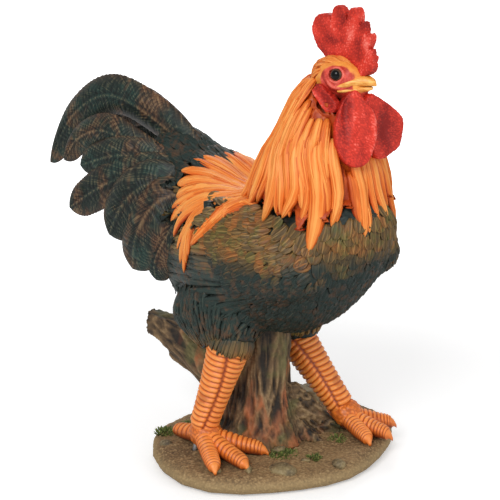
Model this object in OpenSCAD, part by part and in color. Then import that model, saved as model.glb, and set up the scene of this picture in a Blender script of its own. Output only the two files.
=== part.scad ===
// Painted cast-resin rooster standing astride a tree stump on an oval of ground.
// The bird faces +X and its left side is +Y. The origin is the middle of the felt's underside.

/* [Base] */
// Radius of the ground along its long axis
base_long_r = 112; // [106:1:132]
// Radius of the ground across its long axis
base_short_r = 92; // [86:1:110]
// Thickness of the ground casting
base_h = 15; // [12:0.5:20]
// Thickness of the felt glued under the base
felt_t = 1.5; // [1:0.25:3]
// Distance from the felt's edge in to the base's edge
felt_margin = 7; // [3:0.5:12]
// Length of the largest stone set in the ground
stone_len = 28; // [22:1:34]
// Height of a moss tuft above the ground
moss_h = 9; // [6:0.5:12]

/* [Feet and shanks] */
// Distance from the left knuckle to the right one, across the bird
foot_spread = 118; // [104:1:134]
// How far the left foot stands ahead of the right one
stride = 56; // [40:1:68]
// Height of a foot's knuckle above the ground
knuckle_h = 19; // [16:0.5:23]
// Length of a shank from its knuckle up into the thigh
shank_len = 82; // [72:1:96]
// Radius of a shank at its thinnest
shank_r = 12.5; // [10.5:0.5:15]
// Radius of a shank where it enters the thigh
shank_top_r = 19; // [16:0.5:22]
// Depth of the groove between two rows of scutes
scute_depth = 0.7; // [0.4:0.1:1.2]
// Length of a middle toe from its knuckle
toe_len = 67; // [60:1:74]
// Radius of a toe at its root
toe_r = 9.5; // [8:0.25:11.5]
// Radius of the steel rod inside each leg
rod_r = 3; // [2:0.25:3.5]
// Radial room for glue between a rod and its bore
rod_clearance = 0.1; // [0.05:0.05:0.2]
// Depth that a rod reaches into the ground casting
rod_sink = 8; // [6:0.5:10]

/* [Body] */
// Length of the torso from vent to breast
body_len = 220; // [204:1:242]
// Width of the torso
body_w = 134; // [122:1:150]
// Depth of the torso from belly to back
body_h = 141; // [130:1:154]
// Distance from the middle of the stance forward to the breast
breast_x = 109; // [100:1:118]
// Height of the belly above the top of the right shank
belly_rise = 5; // [2:0.5:9]
// Length of a wing from its shoulder to its tip
wing_len = 190; // [170:1:208]
// Depth of a wing from its upper edge to its lower edge
wing_h = 82; // [72:1:94]
// Half of a wing's thickness at its fullest
wing_t = 20; // [18:0.5:24]
// Width of a saddle lock
saddle_lock_w = 15; // [12:0.5:18]
// Radius of a thigh where it leaves the torso
thigh_r = 47; // [42:1:52]

/* [Neck and head] */
// Height of the hackle from the shoulders to the head
neck_h = 102; // [93:1:112]
// Radius of the hackle where it spreads on the shoulders
hackle_r = 58; // [53:1:64]
// Number of locks in the outer row of the hackle
hackle_locks = 18; // [16:2:22]
// Width of a hackle lock
hackle_lock_w = 18; // [15:0.5:21]
// Length of the head from nape to face
head_len = 50; // [45:1:56]
// Width of the head
head_w = 38; // [34:1:44]
// Height of the head
head_h = 40; // [36:1:46]
// Length of the beak beyond the face
beak_len = 13.5; // [11:0.5:16]
// Length of the comb from its rear lobe to its front one
comb_len = 67; // [59:1:75]
// Height of the comb above the crown
comb_h = 41; // [36:1:46]
// Thickness of the comb at its root
comb_t = 11; // [9:0.5:14]
// Length of a wattle
wattle_len = 66; // [58:1:74]
// Width of a wattle
wattle_w = 42; // [36:1:48]
// Thickness of a wattle
wattle_t = 11; // [9:0.5:14]
// Radius of an eye
eye_r = 4.6; // [3.8:0.1:5.4]

/* [Tail] */
// Reach of a main sickle feather behind the torso
sickle_reach = 165; // [146:1:186]
// Width of a main sickle feather
sickle_w = 33; // [28:0.5:38]
// Reach of a lesser sickle feather behind the torso
lesser_reach = 132; // [116:1:146]
// Width of a lesser sickle feather
lesser_w = 24; // [20:0.5:28]
// Reach of the longest broad tail feather
fan_reach = 115; // [102:1:130]
// Width of the widest broad tail feather
fan_w = 39; // [34:0.5:44]
// Thickness of a tail feather at its quill
feather_t = 9; // [7.5:0.25:10.5]

/* [Stump] */
// Radius of the stump at its waist
stump_r = 24; // [20:0.5:28]
// Reach of the roots from the middle of the stump
root_reach = 44; // [37:1:52]
// Length of the broken branch behind the stump
branch_len = 124; // [112:1:136]
// Radius of that branch at its broken end
branch_r = 18; // [15:0.5:21]

/* [Hidden] */

right = -1;
left = 1;
base_top = felt_t + base_h;

// The ground's outline has a few slow waves, and its long axis is turned from straight ahead
outline_wave_share = 0.02;
ground_waves = 5;
ground_wave_turn = 20;
ground_turn = 76;
ground_sides = 24;
felt_sides = 36;

// Places of the stance: the bird stands a little to the right of the base's middle
stance_shift_shares = [0.18, -0.075];
stance_x = stride * stance_shift_shares[0];
stance_y = foot_spread * stance_shift_shares[1];
right_lean = 13;
left_lean = -39;
shank_splay = 12;
knuckle_z = base_top + knuckle_h;

function lean(side) = side == right ? right_lean : left_lean;
function knuckle(side) = [side * stride / 2 + stance_x, side * foot_spread / 2 + stance_y, knuckle_z];
function shank_dir(side) = unit([tan(lean(side)), -side * tan(shank_splay), 1]);
function shank_top(side) = knuckle(side) + shank_dir(side) * shank_len;

belly_z = shank_top(right)[2] + belly_rise;
rear_x = stance_x + breast_x - body_len;

function mix(a, b, t) = a + (b - a) * t;
function unit(v) = v / norm(v);

// Smooth value of a table of rows, for t from 0 at its first row to 1 at its last
function curve(rows, t) =
    let (n = len(rows) - 1,
        s = min(max(t, 0), 1) * n,
        i = min(floor(s), n - 1),
        u = s - i,
        b = rows[i],
        c = rows[i + 1],
        a = i > 0 ? rows[i - 1] : 2 * b - c,
        d = i + 2 <= n ? rows[i + 2] : 2 * c - b)
    b + 0.5 * u * ((c - a) + u * ((2 * a - 5 * b + 4 * c - d) + u * (3 * (b - c) + d - a)));

// Ring of points round c, reaching across to one vector and up to the other
function oval(c, across, up, n = 16) =
    [for (i = [0:n - 1]) c + across * cos(i * 360 / n) + up * sin(i * 360 / n)];

// Rings of a blade that follows a path, with its flat side facing outward
function blade_rings(path, outward, w, t, shape_shares, n = 8) =
    [for (i = [0:len(path) - 1])
        let (u = i / (len(path) - 1),
            ahead = unit(path[min(i + 1, len(path) - 1)] - path[max(i - 1, 0)]),
            across = unit(cross(outward, ahead)),
            up = cross(ahead, across),
            s = curve(shape_shares, u))
        oval(path[i], across * w / 2 * s[0], up * t / 2 * s[1], n)];

// Closed skin over a row of rings
module loft(rings) {
    n = len(rings[0]);
    m = len(rings);
    polyhedron(
        points = [for (r = rings) each r],
        faces = concat(
            [[for (j = [0:n - 1]) j]],
            [[for (j = [n - 1:-1:0]) (m - 1) * n + j]],
            [for (i = [0:m - 2], j = [0:n - 1])
                let (k = (j + 1) % n)
                each [[i * n + j, (i + 1) * n + j, (i + 1) * n + k],
                    [i * n + j, (i + 1) * n + k, i * n + k]]]));
}

// The same row of rings as a chain of convex spans, which others can cut
module chain(rings) {
    n = len(rings[0]);
    for (i = [0:len(rings) - 2])
        hull()
            polyhedron(
                points = concat(rings[i], rings[i + 1]),
                faces = [[for (j = [0:n - 1]) j], [for (j = [0:n - 1]) n + j]]);
}

// Ground: an oval with a waved outline, rounded at its edge and rough on top

function ground_r(a) =
    let (c = cos(a - ground_turn) / base_long_r, s = sin(a - ground_turn) / base_short_r)
    (1 + outline_wave_share * cos(ground_waves * a + ground_wave_turn)) / sqrt(c * c + s * s);

// Each row has the share of the outline's radius and the share of the casting's height
ground_shares = [[0.965, 0], [1, 0.34], [0.985, 0.68], [0.93, 0.93], [0.8, 1], [0.45, 1.03], [0.08, 1.07]];
bump_share = 0.05;
bump_from_share = 0.9;
bump_turn = 400;

function ground_point(a, row) =
    let (bump = row[1] > bump_from_share ? bump_share * sin(ground_waves * a + bump_turn * row[0]) : 0)
    [ground_r(a) * row[0] * cos(a), ground_r(a) * row[0] * sin(a), felt_t + base_h * (row[1] + bump)];

module ground_form() {
    loft([for (row = ground_shares)
        [for (i = [0:ground_sides - 1]) ground_point(i * 360 / ground_sides, row)]]);
}

function felt_point(a) = (ground_r(a) * ground_shares[0][0] - felt_margin) * [cos(a), sin(a)];

module felt_sheet() {
    color("darkolivegreen")
        linear_extrude(felt_t)
            polygon([for (i = [0:felt_sides - 1]) felt_point(i * 360 / felt_sides)]);
}

module ground_base() {
    color("tan")
        difference() {
            ground_form();
            rod_bore(right);
            rod_bore(left);
        }
}

// Stones: direction from the middle, share of the outline's radius, shares of length and height
stone_shares = [[-66, 0.76, 1, 0.5], [-35, 0.36, 0.95, 0.5], [-20, 0.7, 0.35, 0.5],
    [150, 0.72, 0.45, 0.5], [114, 0.79, 1.4, 1.05], [-125, 0.66, 0.3, 0.5]];

// A stone's two ends: place along it, radius and breadth
stone_end_shares = [[0.18, 0.32, 0.8], [-0.2, 0.33, 0.95]];
stone_turn = 200;

module stone_forms() {
    for (row = stone_shares) {
        size = stone_len * row[2];
        r = ground_r(row[0]) * row[1];
        translate([r * cos(row[0]), r * sin(row[0]), base_top])
            rotate(row[0] + 90 + stone_turn * row[1])
                hull()
                    for (end = stone_end_shares)
                        translate([size * end[0], 0, 0])
                            scale([1, end[2], row[3]])
                                sphere(size * end[1], $fn = 6);
    }
}

module set_stones() {
    color("peru")
        difference() {
            stone_forms();
            ground_form();
            foot_forms();
        }
}

// Moss: direction, share of the outline's radius, and width as a share of the largest stone
moss_shares = [[-70, 0.6, 0.9], [-12, 0.62, 1], [212, 0.86, 0.6]];
moss_root_share = 0.3;
moss_tip_share = 0.1;
moss_side_share = 0.7;
moss_turn = 45;

module moss_forms() {
    for (row = moss_shares)
        for (k = [-1:1]) {
            r = ground_r(row[0]) * row[1];
            reach = stone_len * row[2] * moss_root_share;
            aside = k * reach * [cos(moss_turn), sin(moss_turn), 0];
            h = moss_h * (k == 0 ? 1 : moss_side_share);
            translate([r * cos(row[0]), r * sin(row[0]), base_top] + aside)
                cylinder(h = h, r1 = reach, r2 = reach * moss_tip_share, $fn = 5);
        }
}

module moss_tufts() {
    color("olivedrab")
        difference() {
            moss_forms();
            ground_form();
            foot_forms();
            stone_forms();
        }
}

// Stump: a waisted trunk with spreading roots, ridged bark and a crotch under the belly

stump_shift_shares = [-0.32, -0.01];
stump_middle = [stance_x + stride * stump_shift_shares[0],
    stance_y + foot_spread * stump_shift_shares[1],
    base_top];
stump_sink_share = 0.3;
stump_reach_share = 0.2;
crotch_flare_share = 0.35;
bark_ridge_shares = [1.06, 0.95];
stump_oval_shares = [1.1, 0.92];
stump_spans = 5;
stump_sides = 16;

// Roots: direction and share of the reach
root_shares = [[-85, 0.8], [-35, 0.75], [28, 1.3], [100, 0.9], [165, 1], [230, 0.85]];

function stump_ring(t) =
    let (z = mix(-base_h * stump_sink_share, belly_z - base_top + body_h * stump_reach_share, t),
        flare = pow(1 - t, 4) * (root_reach - stump_r) + pow(t, 3) * stump_r * crotch_flare_share)
    [for (i = [0:stump_sides - 1])
        let (a = i * 360 / stump_sides, r = stump_r * bark_ridge_shares[i % 2] + flare)
        stump_middle + [r * stump_oval_shares[0] * cos(a), r * stump_oval_shares[1] * sin(a), z]];

// A root starts inside the trunk as a tapered post and runs down to a point on the ground
root_start_share = 0.6;
root_height_share = 1.3;
root_post_share = 0.45;
root_tip_share = 0.2;

module root_form(a, share) {
    tip = root_reach * share;
    hull() {
        translate(stump_middle + stump_r * root_start_share * [cos(a), sin(a), 0])
            cylinder(h = stump_r * root_height_share,
                r1 = stump_r * root_post_share, r2 = stump_r * root_tip_share, $fn = 6);
        translate(stump_middle - [0, 0, base_h * root_tip_share] + tip * [cos(a), sin(a), 0])
            sphere(stump_r * root_tip_share, $fn = 6);
    }
}

module stump_form() {
    loft([for (k = [0:stump_spans]) stump_ring(k / stump_spans)]);
    for (row = root_shares) root_form(row[0], row[1]);
}

module stump() {
    color("sienna")
        difference() {
            stump_form();
            ground_form();
            foot_forms();
            shank_form(right);
            shank_form(left);
            torso_form();
            thigh_form(right);
            thigh_form(left);
            stone_forms();
        }
}

// Branch: leaves the stump's waist, runs back and up, and ends in a broken two-step face
branch_shares = [[0, 0, 0.34, 1.8], [0.25, -0.02, 0.38, 1.75], [0.48, -0.04, 0.44, 1.5],
    [0.71, -0.06, 0.51, 1.17], [0.99, -0.08, 0.565, 1]];
branch_ridge_shares = [1.05, 0.94];
branch_oval_shares = [0.45, 0.75];
branch_spans = 5;
branch_sides = 12;

// The broken end: where the break begins, and how much of the lower half is left at its two edges
break_share = 0.86;
break_low_shares = [0.4, 0.35];

// A short knot stands on the branch: its place, turns, length and its two radii
knot_share = 0.55;
knot_turns = [0, -65, 200];
knot_shares = [1.6, 0.5, 0.32];

function branch_path(t) =
    let (s = curve(branch_shares, t))
    stump_middle + branch_len * [-s[0], s[1], s[2]];

function branch_ring(t, low) =
    let (s = curve(branch_shares, t), r = branch_r * s[3])
    [for (i = [0:branch_sides - 1])
        let (a = i * 360 / branch_sides, size = r * branch_ridge_shares[i % 2] * (sin(a) < 0 ? low : 1))
        branch_path(t) + size * [-branch_oval_shares[0] * sin(a), branch_oval_shares[1] * cos(a), sin(a)]];

module branch_form() {
    chain([for (k = [0:branch_spans]) branch_ring(k / branch_spans * break_share, 1)]);
    chain([branch_ring(break_share, break_low_shares[0]), branch_ring(1, break_low_shares[1])]);
    translate(branch_path(knot_share))
        rotate(knot_turns)
            hull() {
                cylinder(h = branch_r * knot_shares[0],
                    r1 = branch_r * knot_shares[1], r2 = branch_r * knot_shares[2], $fn = 8);
                sphere(branch_r * knot_shares[1], $fn = 8);
            }
}

module rear_branch() {
    color("saddlebrown")
        difference() {
            branch_form();
            stump_form();
            torso_form();
            thigh_form(right);
            thigh_form(left);
            shank_form(right);
            ground_form();
        }
}

// Leg rods: straight steel pins through the feet, glued into the base and the shanks

module along_shank(side) {
    d = shank_dir(side);
    translate(knuckle(side))
        rotate([0, acos(d[2]), atan2(d[1], d[0])])
            children();
}

rod_above_share = 0.7;
rod_above = shank_len * rod_above_share;
rod_sides = 48;

function rod_drop(side) = (knuckle_h + rod_sink) / shank_dir(side)[2];

module rod_bore(side) {
    along_shank(side)
        translate([0, 0, -rod_drop(side)])
            cylinder(h = rod_drop(side) + rod_above, r = rod_r + rod_clearance, $fn = rod_sides);
}

module leg_rod(side) {
    color("silver")
        along_shank(side)
            translate([0, 0, -rod_drop(side)])
                cylinder(h = rod_drop(side) + rod_above, r = rod_r, $fn = rod_sides);
}

module right_leg_rod() {
    leg_rod(right);
}

module left_leg_rod() {
    leg_rod(left);
}

// Shanks: tapered, with rows of scutes that step like shallow saw teeth
scute_rows = 14;
scute_share = 0.85;
shank_flare = 1.6;

function shank_radius(u) = shank_r + (shank_top_r - shank_r) * pow(u, shank_flare);

module shank_form(side) {
    step = shank_len / scute_rows;
    along_shank(side)
        rotate_extrude($fn = 36)
            polygon(concat(
                [[0, 0]],
                [for (i = [0:scute_rows - 1])
                    let (r = shank_radius((i + 0.5) / scute_rows))
                    each [[r, i * step], [r - scute_depth, (i + scute_share) * step]]],
                [[shank_top_r - scute_depth, shank_len], [0, shank_len]]));
}

// Plain tapered sockets that take a shank's two ends, just clear of its scutes
socket_sides = 24;
socket_shares = [0.06, 0.3];

module socket_cone(h, r1, r2) {
    cylinder(h = h, r1 = r1 / cos(180 / socket_sides), r2 = r2 / cos(180 / socket_sides), $fn = socket_sides);
}

module shank_foot_socket(side) {
    along_shank(side)
        socket_cone(shank_len * socket_shares[1],
            shank_radius(socket_shares[0]),
            shank_radius(socket_shares[1]));
}

module shank_top_socket(side) {
    along_shank(side)
        translate([0, 0, shank_len * (1 - socket_shares[1])])
            socket_cone(shank_len * socket_shares[1], shank_radius(1 - socket_shares[1]), shank_top_r);
}

module shank(side) {
    color("orange")
        difference() {
            shank_form(side);
            rod_bore(side);
        }
}

module right_shank() {
    shank(right);
}

module left_shank() {
    shank(left);
}

// Feet: three front toes and a hind toe that arch from the knuckle down to the ground
toe_turns = [-25, 0, 31, 178];
toe_reach_shares = [0.88, 1, 0.88, 0.72];
foot_turns = [-9, 2];
left_toe_share = 0.78;

// Rows run from the knuckle to the claw's point: reach, height above ground, width and depth
toe_shares = [[0, 0.75, 1.25, 1.3], [0.3, 0.56, 1.1, 1.1], [0.62, 0.38, 1.02, 0.95],
    [0.86, 0.28, 0.85, 0.75], [0.99, 0.05, 0.15, 0.2]];
toe_spans = 4;
toe_sides = 6;
knuckle_drop_share = 0.2;
knuckle_height_share = 0.85;

function foot_turn(side) = side == right ? foot_turns[0] : foot_turns[1];

module toe_form(side, k) {
    a = foot_turn(side) + toe_turns[k];
    reach = toe_len * toe_reach_shares[k] * (side == left ? left_toe_share : 1);
    ahead = [cos(a), sin(a), 0];
    across = [-sin(a), cos(a), 0];
    root = [knuckle(side)[0], knuckle(side)[1], base_top];
    chain([for (j = [0:toe_spans])
        let (s = curve(toe_shares, j / toe_spans))
        oval(root + ahead * reach * s[0] + [0, 0, knuckle_h * s[1]],
            across * toe_r * s[2], [0, 0, toe_r * s[3]], toe_sides)]);
}

module foot_form(side) {
    for (k = [0:3]) toe_form(side, k);
    translate(knuckle(side) - [0, 0, knuckle_h * knuckle_drop_share])
        scale([1, 1, knuckle_height_share])
            sphere(shank_r + scute_depth * 2, $fn = 8);
}

module foot_forms() {
    foot_form(right);
    foot_form(left);
}

module foot(side) {
    color("darkorange")
        difference() {
            foot_form(side);
            ground_form();
            shank_foot_socket(side);
            rod_bore(side);
        }
}

module right_foot() {
    foot(right);
}

module left_foot() {
    foot(left);
}

// Torso: an egg of upright rings. Rows run from vent to breast: place along the body,
// height of the middle, half width and half depth
torso_shares = [[0, 0.84, 0.14, 0.15], [0.032, 0.81, 0.38, 0.34], [0.136, 0.7, 0.62, 0.57],
    [0.318, 0.535, 0.86, 0.7], [0.5, 0.48, 0.98, 0.9], [0.636, 0.5, 1, 0.95],
    [0.773, 0.575, 0.92, 0.83], [0.885, 0.67, 0.7, 0.6],
    [0.957, 0.73, 0.45, 0.4], [1, 0.765, 0.16, 0.16]];
torso_spans = 14;
torso_sides = 18;

function torso_middle(s) = [rear_x + body_len * s[0], 0, belly_z + body_h * s[1]];

module torso_form() {
    loft([for (k = [0:torso_spans])
        let (s = curve(torso_shares, k / torso_spans))
        oval(torso_middle(s), [0, body_w / 2 * s[2], 0], [0, 0, body_h / 2 * s[3]], torso_sides)]);
}

module torso() {
    color("darkslategray")
        torso_form();
}

// Thighs: feathered drumsticks from the torso's side down over the shank's top
hip_share = [0.36, 0.52, 0.3];

// Place in the body's box: along it from the rear, out from its middle and up from the belly
function body_place(side, s) =
    [rear_x + body_len * s[0], side * body_w / 2 * s[1], belly_z + body_h * s[2]];

function hip(side) = body_place(side, hip_share);

// Rows run from hip to cuff: share of the way, backward swell and radius as a share of the hip's
thigh_shares = [[0, 0, 0.8], [0.25, 0.08, 1], [0.5, 0.14, 0.94],
    [0.75, 0.1, 0.72], [0.9, 0.04, 0.58], [1, 0, 0.5]];
thigh_oval_shares = [1.12, 0.85];
thigh_spans = 5;
thigh_sides = 11;

// The cuff closes round the shank a little below its top
cuff_gap = 2;
cuff_share = 0.04;

module thigh_form(side) {
    cuff = shank_top(side) - shank_dir(side) * shank_len * cuff_share;
    d = unit(cuff - hip(side));
    ahead = unit(cross([0, 1, 0], d));
    loft([for (k = [0:thigh_spans])
        let (s = curve(thigh_shares, k / thigh_spans),
            r = max(thigh_r * s[2], shank_top_r + cuff_gap))
        oval(mix(hip(side), cuff, s[0]) + ahead * thigh_r * s[1],
            ahead * r * thigh_oval_shares[0], cross(d, ahead) * r * thigh_oval_shares[1], thigh_sides)]);
}

module thigh(side) {
    color("darkslategray")
        difference() {
            thigh_form(side);
            torso_form();
            wing_form(side);
            saddle_form();
            shank_top_socket(side);
        }
}

module right_thigh() {
    thigh(right);
}

module left_thigh() {
    thigh(left);
}

// Wings: folded shields. Rows run from shoulder to tip: place along the wing, height of the
// middle, half depth, distance from the middle of the body and half thickness
wing_shares = [[0, 0.05, 0.3, 0.62, 0.5], [0.1, 0.04, 0.54, 0.74, 0.95], [0.28, 0.03, 0.8, 0.82, 1.1],
    [0.49, 0.02, 0.97, 0.8, 1.1], [0.68, -0.04, 1, 0.7, 1.05], [0.84, -0.17, 0.83, 0.6, 0.8],
    [0.95, -0.3, 0.55, 0.54, 0.58], [1, -0.37, 0.28, 0.52, 0.3]];
wing_spans = 6;
wing_sides = 10;
shoulder_share = 0.9;
wing_rise_share = 0.5;

function wing_middle(side, s) = [rear_x + body_len * shoulder_share - wing_len * s[0],
    side * body_w / 2 * s[3], belly_z + body_h * wing_rise_share + wing_h * s[1]];

// Point on a wing's outer face at turn a, from its lower edge at -90 to its upper edge at 90
function wing_point(side, u, a) =
    let (s = curve(wing_shares, u))
    wing_middle(side, s) + [0, side * wing_t * s[4] * cos(a), wing_h / 2 * s[2] * sin(a)];

// Flight feathers lie one above the other: the first share along the wing where they start, how much
// sooner each next one ends, their turn on the wing at both ends and from one to the next
quill_shares = [[0.5, 0.5], [1, 1], [1.05, 1], [0.9, 0.9], [0.25, 0.4]];
flight_feathers = 3;
flight_root_share = 0.36;
flight_step_share = 0.045;
flight_turns = [-38, -56];
flight_turn_step = 26;
flight_width_share = 0.9;
flight_thick_share = 0.22;
flight_spans = 3;

function flight_path(side, f) =
    [for (k = [0:flight_spans])
        let (t = k / flight_spans)
        wing_point(side, mix(flight_root_share, 1 - f * flight_step_share, t),
            mix(flight_turns[0], flight_turns[1], t) + f * flight_turn_step)];

module wing_form(side) {
    chain([for (k = [0:wing_spans])
        let (s = curve(wing_shares, k / wing_spans))
        oval(wing_middle(side, s), [0, wing_t * s[4], 0], [0, 0, wing_h / 2 * s[2]], wing_sides)]);
    for (f = [0:flight_feathers - 1])
        chain(blade_rings(flight_path(side, f), [0, side, 0],
            wing_h / flight_feathers * flight_width_share, wing_t * flight_thick_share, quill_shares, 4));
}

module wing(side) {
    color("olivedrab")
        difference() {
            wing_form(side);
            torso_form();
            hackle_form();
            saddle_form();
        }
}

module right_wing() {
    wing(right);
}

module left_wing() {
    wing(left);
}

// Locks: narrow, pointed feathers whose rows hold the shares of width and thickness
lock_shares = [[0.5, 0.7], [0.95, 1], [1, 1], [0.7, 0.8], [0.08, 0.25]];

// Saddle: locks that leave the back behind the hackle and fall over the wings and the tail.
// Rows hold each tip: along the body, out from its middle and up from the belly
saddle_tip_shares = [[0.35, 1.08, 0.54], [0.25, 0.93, 0.38], [0.15, 0.86, 0.5],
    [0.05, 0.74, 0.6], [-0.01, 0.54, 0.78], [-0.03, 0.22, 0.95]];
saddle_root_shares = [[0.47, 0.5, 0.82], [0.39, 0.16, 0.865]];
saddle_lift_shares = [0.15, 0.03];
saddle_locks = len(saddle_tip_shares);
saddle_bow = 0.8;
saddle_spans = 3;

// Which way a lock lifts off and faces: back, out from the body and up
lift_turn_shares = [-0.2, 1.2, 1];
lock_turn_shares = [-0.3, 1.2, 0.7];
lock_width_share = 1.4;
lock_thick_share = 0.9;

function lock_turn(side, row, u) = unit([row[0], side * (row[1] - u), row[2]]);

function saddle_path(side, k) =
    let (u = k / (saddle_locks - 1),
        root = body_place(side, mix(saddle_root_shares[0], saddle_root_shares[1], u)),
        tip = body_place(side, saddle_tip_shares[k]),
        rise = body_h * mix(saddle_lift_shares[0], saddle_lift_shares[1], u),
        lift = rise * lock_turn(side, lift_turn_shares, u))
    [for (j = [0:saddle_spans])
        let (t = j / saddle_spans)
        mix(root, tip, t) + lift * sin(180 * pow(t, saddle_bow))];

// The saddle's own form on the back: an oval with a flute along the body for each lock
saddle_flutes = 14;
saddle_width_share = 0.95;
saddle_height_share = 0.6;
saddle_seat_share = 0.45;
saddle_flute_share = 0.13;
saddle_end_share = 0.02;
saddle_end_size_share = 0.5;
saddle_station_shares = [0.16, 0.23, 0.3, 0.37, 0.44, 0.51];

function saddle_ring(s, size) =
    [for (i = [0:2 * saddle_flutes - 1])
        let (a = i * 180 / saddle_flutes,
            flute = saddle_lock_w * saddle_flute_share * (is_crest(i) ? 1 : -1),
            across = (body_w / 2 * s[2] * saddle_width_share + flute) * cos(a),
            up = (body_h / 2 * s[3] * saddle_height_share + flute) * sin(a))
        torso_middle(s) + [0, across, up] * size + [0, 0, body_h / 2 * s[3] * saddle_seat_share]];

function saddle_end_ring(t) = saddle_ring(curve(torso_shares, t), saddle_end_size_share);

module saddle_form() {
    for (side = [right, left], k = [0:saddle_locks - 1])
        chain(blade_rings(saddle_path(side, k), lock_turn(side, lock_turn_shares, k / saddle_locks),
            saddle_lock_w * lock_width_share, saddle_lock_w * lock_thick_share, lock_shares, 4));
    loft(concat(
        [saddle_end_ring(saddle_station_shares[0] - saddle_end_share)],
        [for (t = saddle_station_shares) saddle_ring(curve(torso_shares, t), 1)],
        [saddle_end_ring(saddle_station_shares[5] + saddle_end_share)]));
}

module saddle() {
    color("orange")
        difference() {
            saddle_form();
            torso_form();
            hackle_form();
        }
}

// Hackle: a cone of locks from the head to the shoulders. Rows run downward: forward from the
// neck's middle, height, half length, half width, and forward tilt in degrees
hackle_shares = [[0.05, 1, 0.28, 0.3, 14], [0.05, 0.86, 0.47, 0.47, 4], [0.06, 0.71, 0.6, 0.6, 0],
    [0.05, 0.57, 0.69, 0.7, 2], [0, 0.42, 0.79, 0.8, 4], [-0.04, 0.22, 0.91, 0.92, 6],
    [-0.07, 0, 0.99, 1, 7]];
neck_x_share = 0.723;
hackle_foot_share = 0.846;
hem_drop_share = 1.2;

function neck_middle(s) = [rear_x + body_len * neck_x_share + hackle_r * s[0], 0,
    belly_z + body_h * hackle_foot_share + neck_h * s[1]];

// Point on the hackle at height share t and turn a from straight ahead, lifted by some length
function hackle_point(t, a, lift = 0) =
    let (s = curve(hackle_shares, t) - max(t - 1, 0) * [0, hem_drop_share, 0, 0, 0],
        rx = hackle_r * s[2] + lift,
        ry = hackle_r * s[3] + lift)
    neck_middle(s) + [rx * cos(a) * cos(s[4]), ry * sin(a), -rx * cos(a) * sin(s[4])];

// Each lock is a flute of the cape: its crest stands out and its tip hangs lower than the valley beside it
flute_depth_share = 0.17;
flute_sway = 13;
flute_top_share = 0.5;
cape_level_shares = [0, 0.14, 0.28, 0.42, 0.56, 0.7, 0.82, 0.91];
valley_end_share = 0.97;
tip_share = 1.02;
tip_spread_share = 0.06;
tip_spread_turn = 83;
long_tip_share = 1.22;

// One lock near the right shoulder reaches further down than the rest
long_lock_turn = 290;

function is_crest(i) = i % 2 == 0;
function long_lock() = 2 * round(long_lock_turn * hackle_locks / 360);

function cape_end(i) =
    !is_crest(i) ? valley_end_share
    : i == long_lock() ? long_tip_share
    : tip_share + tip_spread_share * sin(i * tip_spread_turn);

function cape_point(t, i) =
    let (turn = i * 180 / hackle_locks,
        sway = flute_sway * sin(turn) * sin(180 * min(t, 1)),
        depth = hackle_lock_w * flute_depth_share * mix(flute_top_share, 1, min(t, 1)))
    hackle_point(t, turn + sway, is_crest(i) ? depth : -depth * cos(90 * min(t, 1)));

module hackle_form() {
    corners = [2 * hackle_locks - 1:-1:0];
    foot = curve(hackle_shares, 1);
    loft(concat(
        [for (t = cape_level_shares) [for (i = corners) cape_point(t, i)]],
        [[for (i = corners) cape_point(cape_end(i), i)]],
        [[for (i = corners) mix(neck_middle(foot), hackle_point(1, i * 180 / hackle_locks), 0.5)]]));
}

module hackle() {
    color("orange")
        difference() {
            hackle_form();
            torso_form();
            head_form();
            earlobe_form(right);
            earlobe_form(left);
            wattle_form(right);
            wattle_form(left);
        }
}

// Head: rings along its length from nape to face: place, height of the middle, half width, half height
head_shares = [[0, 0.42, 0.3, 0.35], [0.12, 0.44, 0.66, 0.7], [0.35, 0.5, 0.96, 0.98], [0.6, 0.5, 0.98, 1],
    [0.8, 0.45, 0.82, 0.82], [0.94, 0.38, 0.55, 0.58], [1, 0.34, 0.36, 0.4]];
head_drop_share = 0.36;
head_back_share = 0.208;
head_spans = 8;
head_sides = 12;

head_x = neck_middle(hackle_shares[0])[0] - head_len * head_back_share;
head_z = neck_middle(hackle_shares[0])[2] - head_h * head_drop_share;

function head_middle(s) = [head_x + head_len * s[0], 0, head_z + head_h * s[1]];

module head_form() {
    chain([for (k = [0:head_spans])
        let (s = curve(head_shares, k / head_spans))
        oval(head_middle(s), [0, head_w / 2 * s[2], 0], [0, 0, head_h / 2 * s[3]], head_sides)]);
}

// Place in the head's box: along it from the nape, out from its middle and up from its lower edge
function head_place(side, s) =
    [head_x + head_len * s[0], side * head_w * s[1], head_z + head_h * s[2]];

eye_share = [0.64, 0.4, 0.56];

function eye_place(side) = head_place(side, eye_share);

module eye_form(side) {
    translate(eye_place(side)) sphere(eye_r, $fn = 24);
}

eye_socket_share = 1.03;

module eye_socket(side) {
    translate(eye_place(side)) sphere(eye_r * eye_socket_share, $fn = 12);
}

module head() {
    color("firebrick")
        difference() {
            head_form();
            eye_socket(right);
            eye_socket(left);
        }
}

module right_eye() {
    color("black") eye_form(right);
}

module left_eye() {
    color("black") eye_form(left);
}

// Beak: the upper half hooks down over the lower one
upper_beak_shares = [[-0.5, 0.09, 0.22, 0.15], [0, 0.09, 0.2, 0.125], [0.4, 0.085, 0.165, 0.105],
    [0.75, 0.06, 0.115, 0.085], [1, 0.04, 0.04, 0.045]];
lower_beak_shares = [[-0.6, -0.09, 0.19, 0.1], [0, -0.08, 0.17, 0.08], [0.3, -0.065, 0.135, 0.065],
    [0.6, -0.045, 0.05, 0.035]];
beak_root_share = 0.96;
mouth_share = 0.36;
beak_spans = 5;
beak_sides = 8;

module beak_form(shares) {
    chain([for (k = [0:beak_spans])
        let (s = curve(shares, k / beak_spans))
        oval(head_place(right, [beak_root_share, 0, mouth_share + s[1]]) + [beak_len * s[0], 0, 0],
            [0, head_w * s[2], 0], [0, 0, head_h * s[3]], beak_sides)]);
}

module upper_beak() {
    color("orange")
        difference() {
            beak_form(upper_beak_shares);
            head_form();
        }
}

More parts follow.
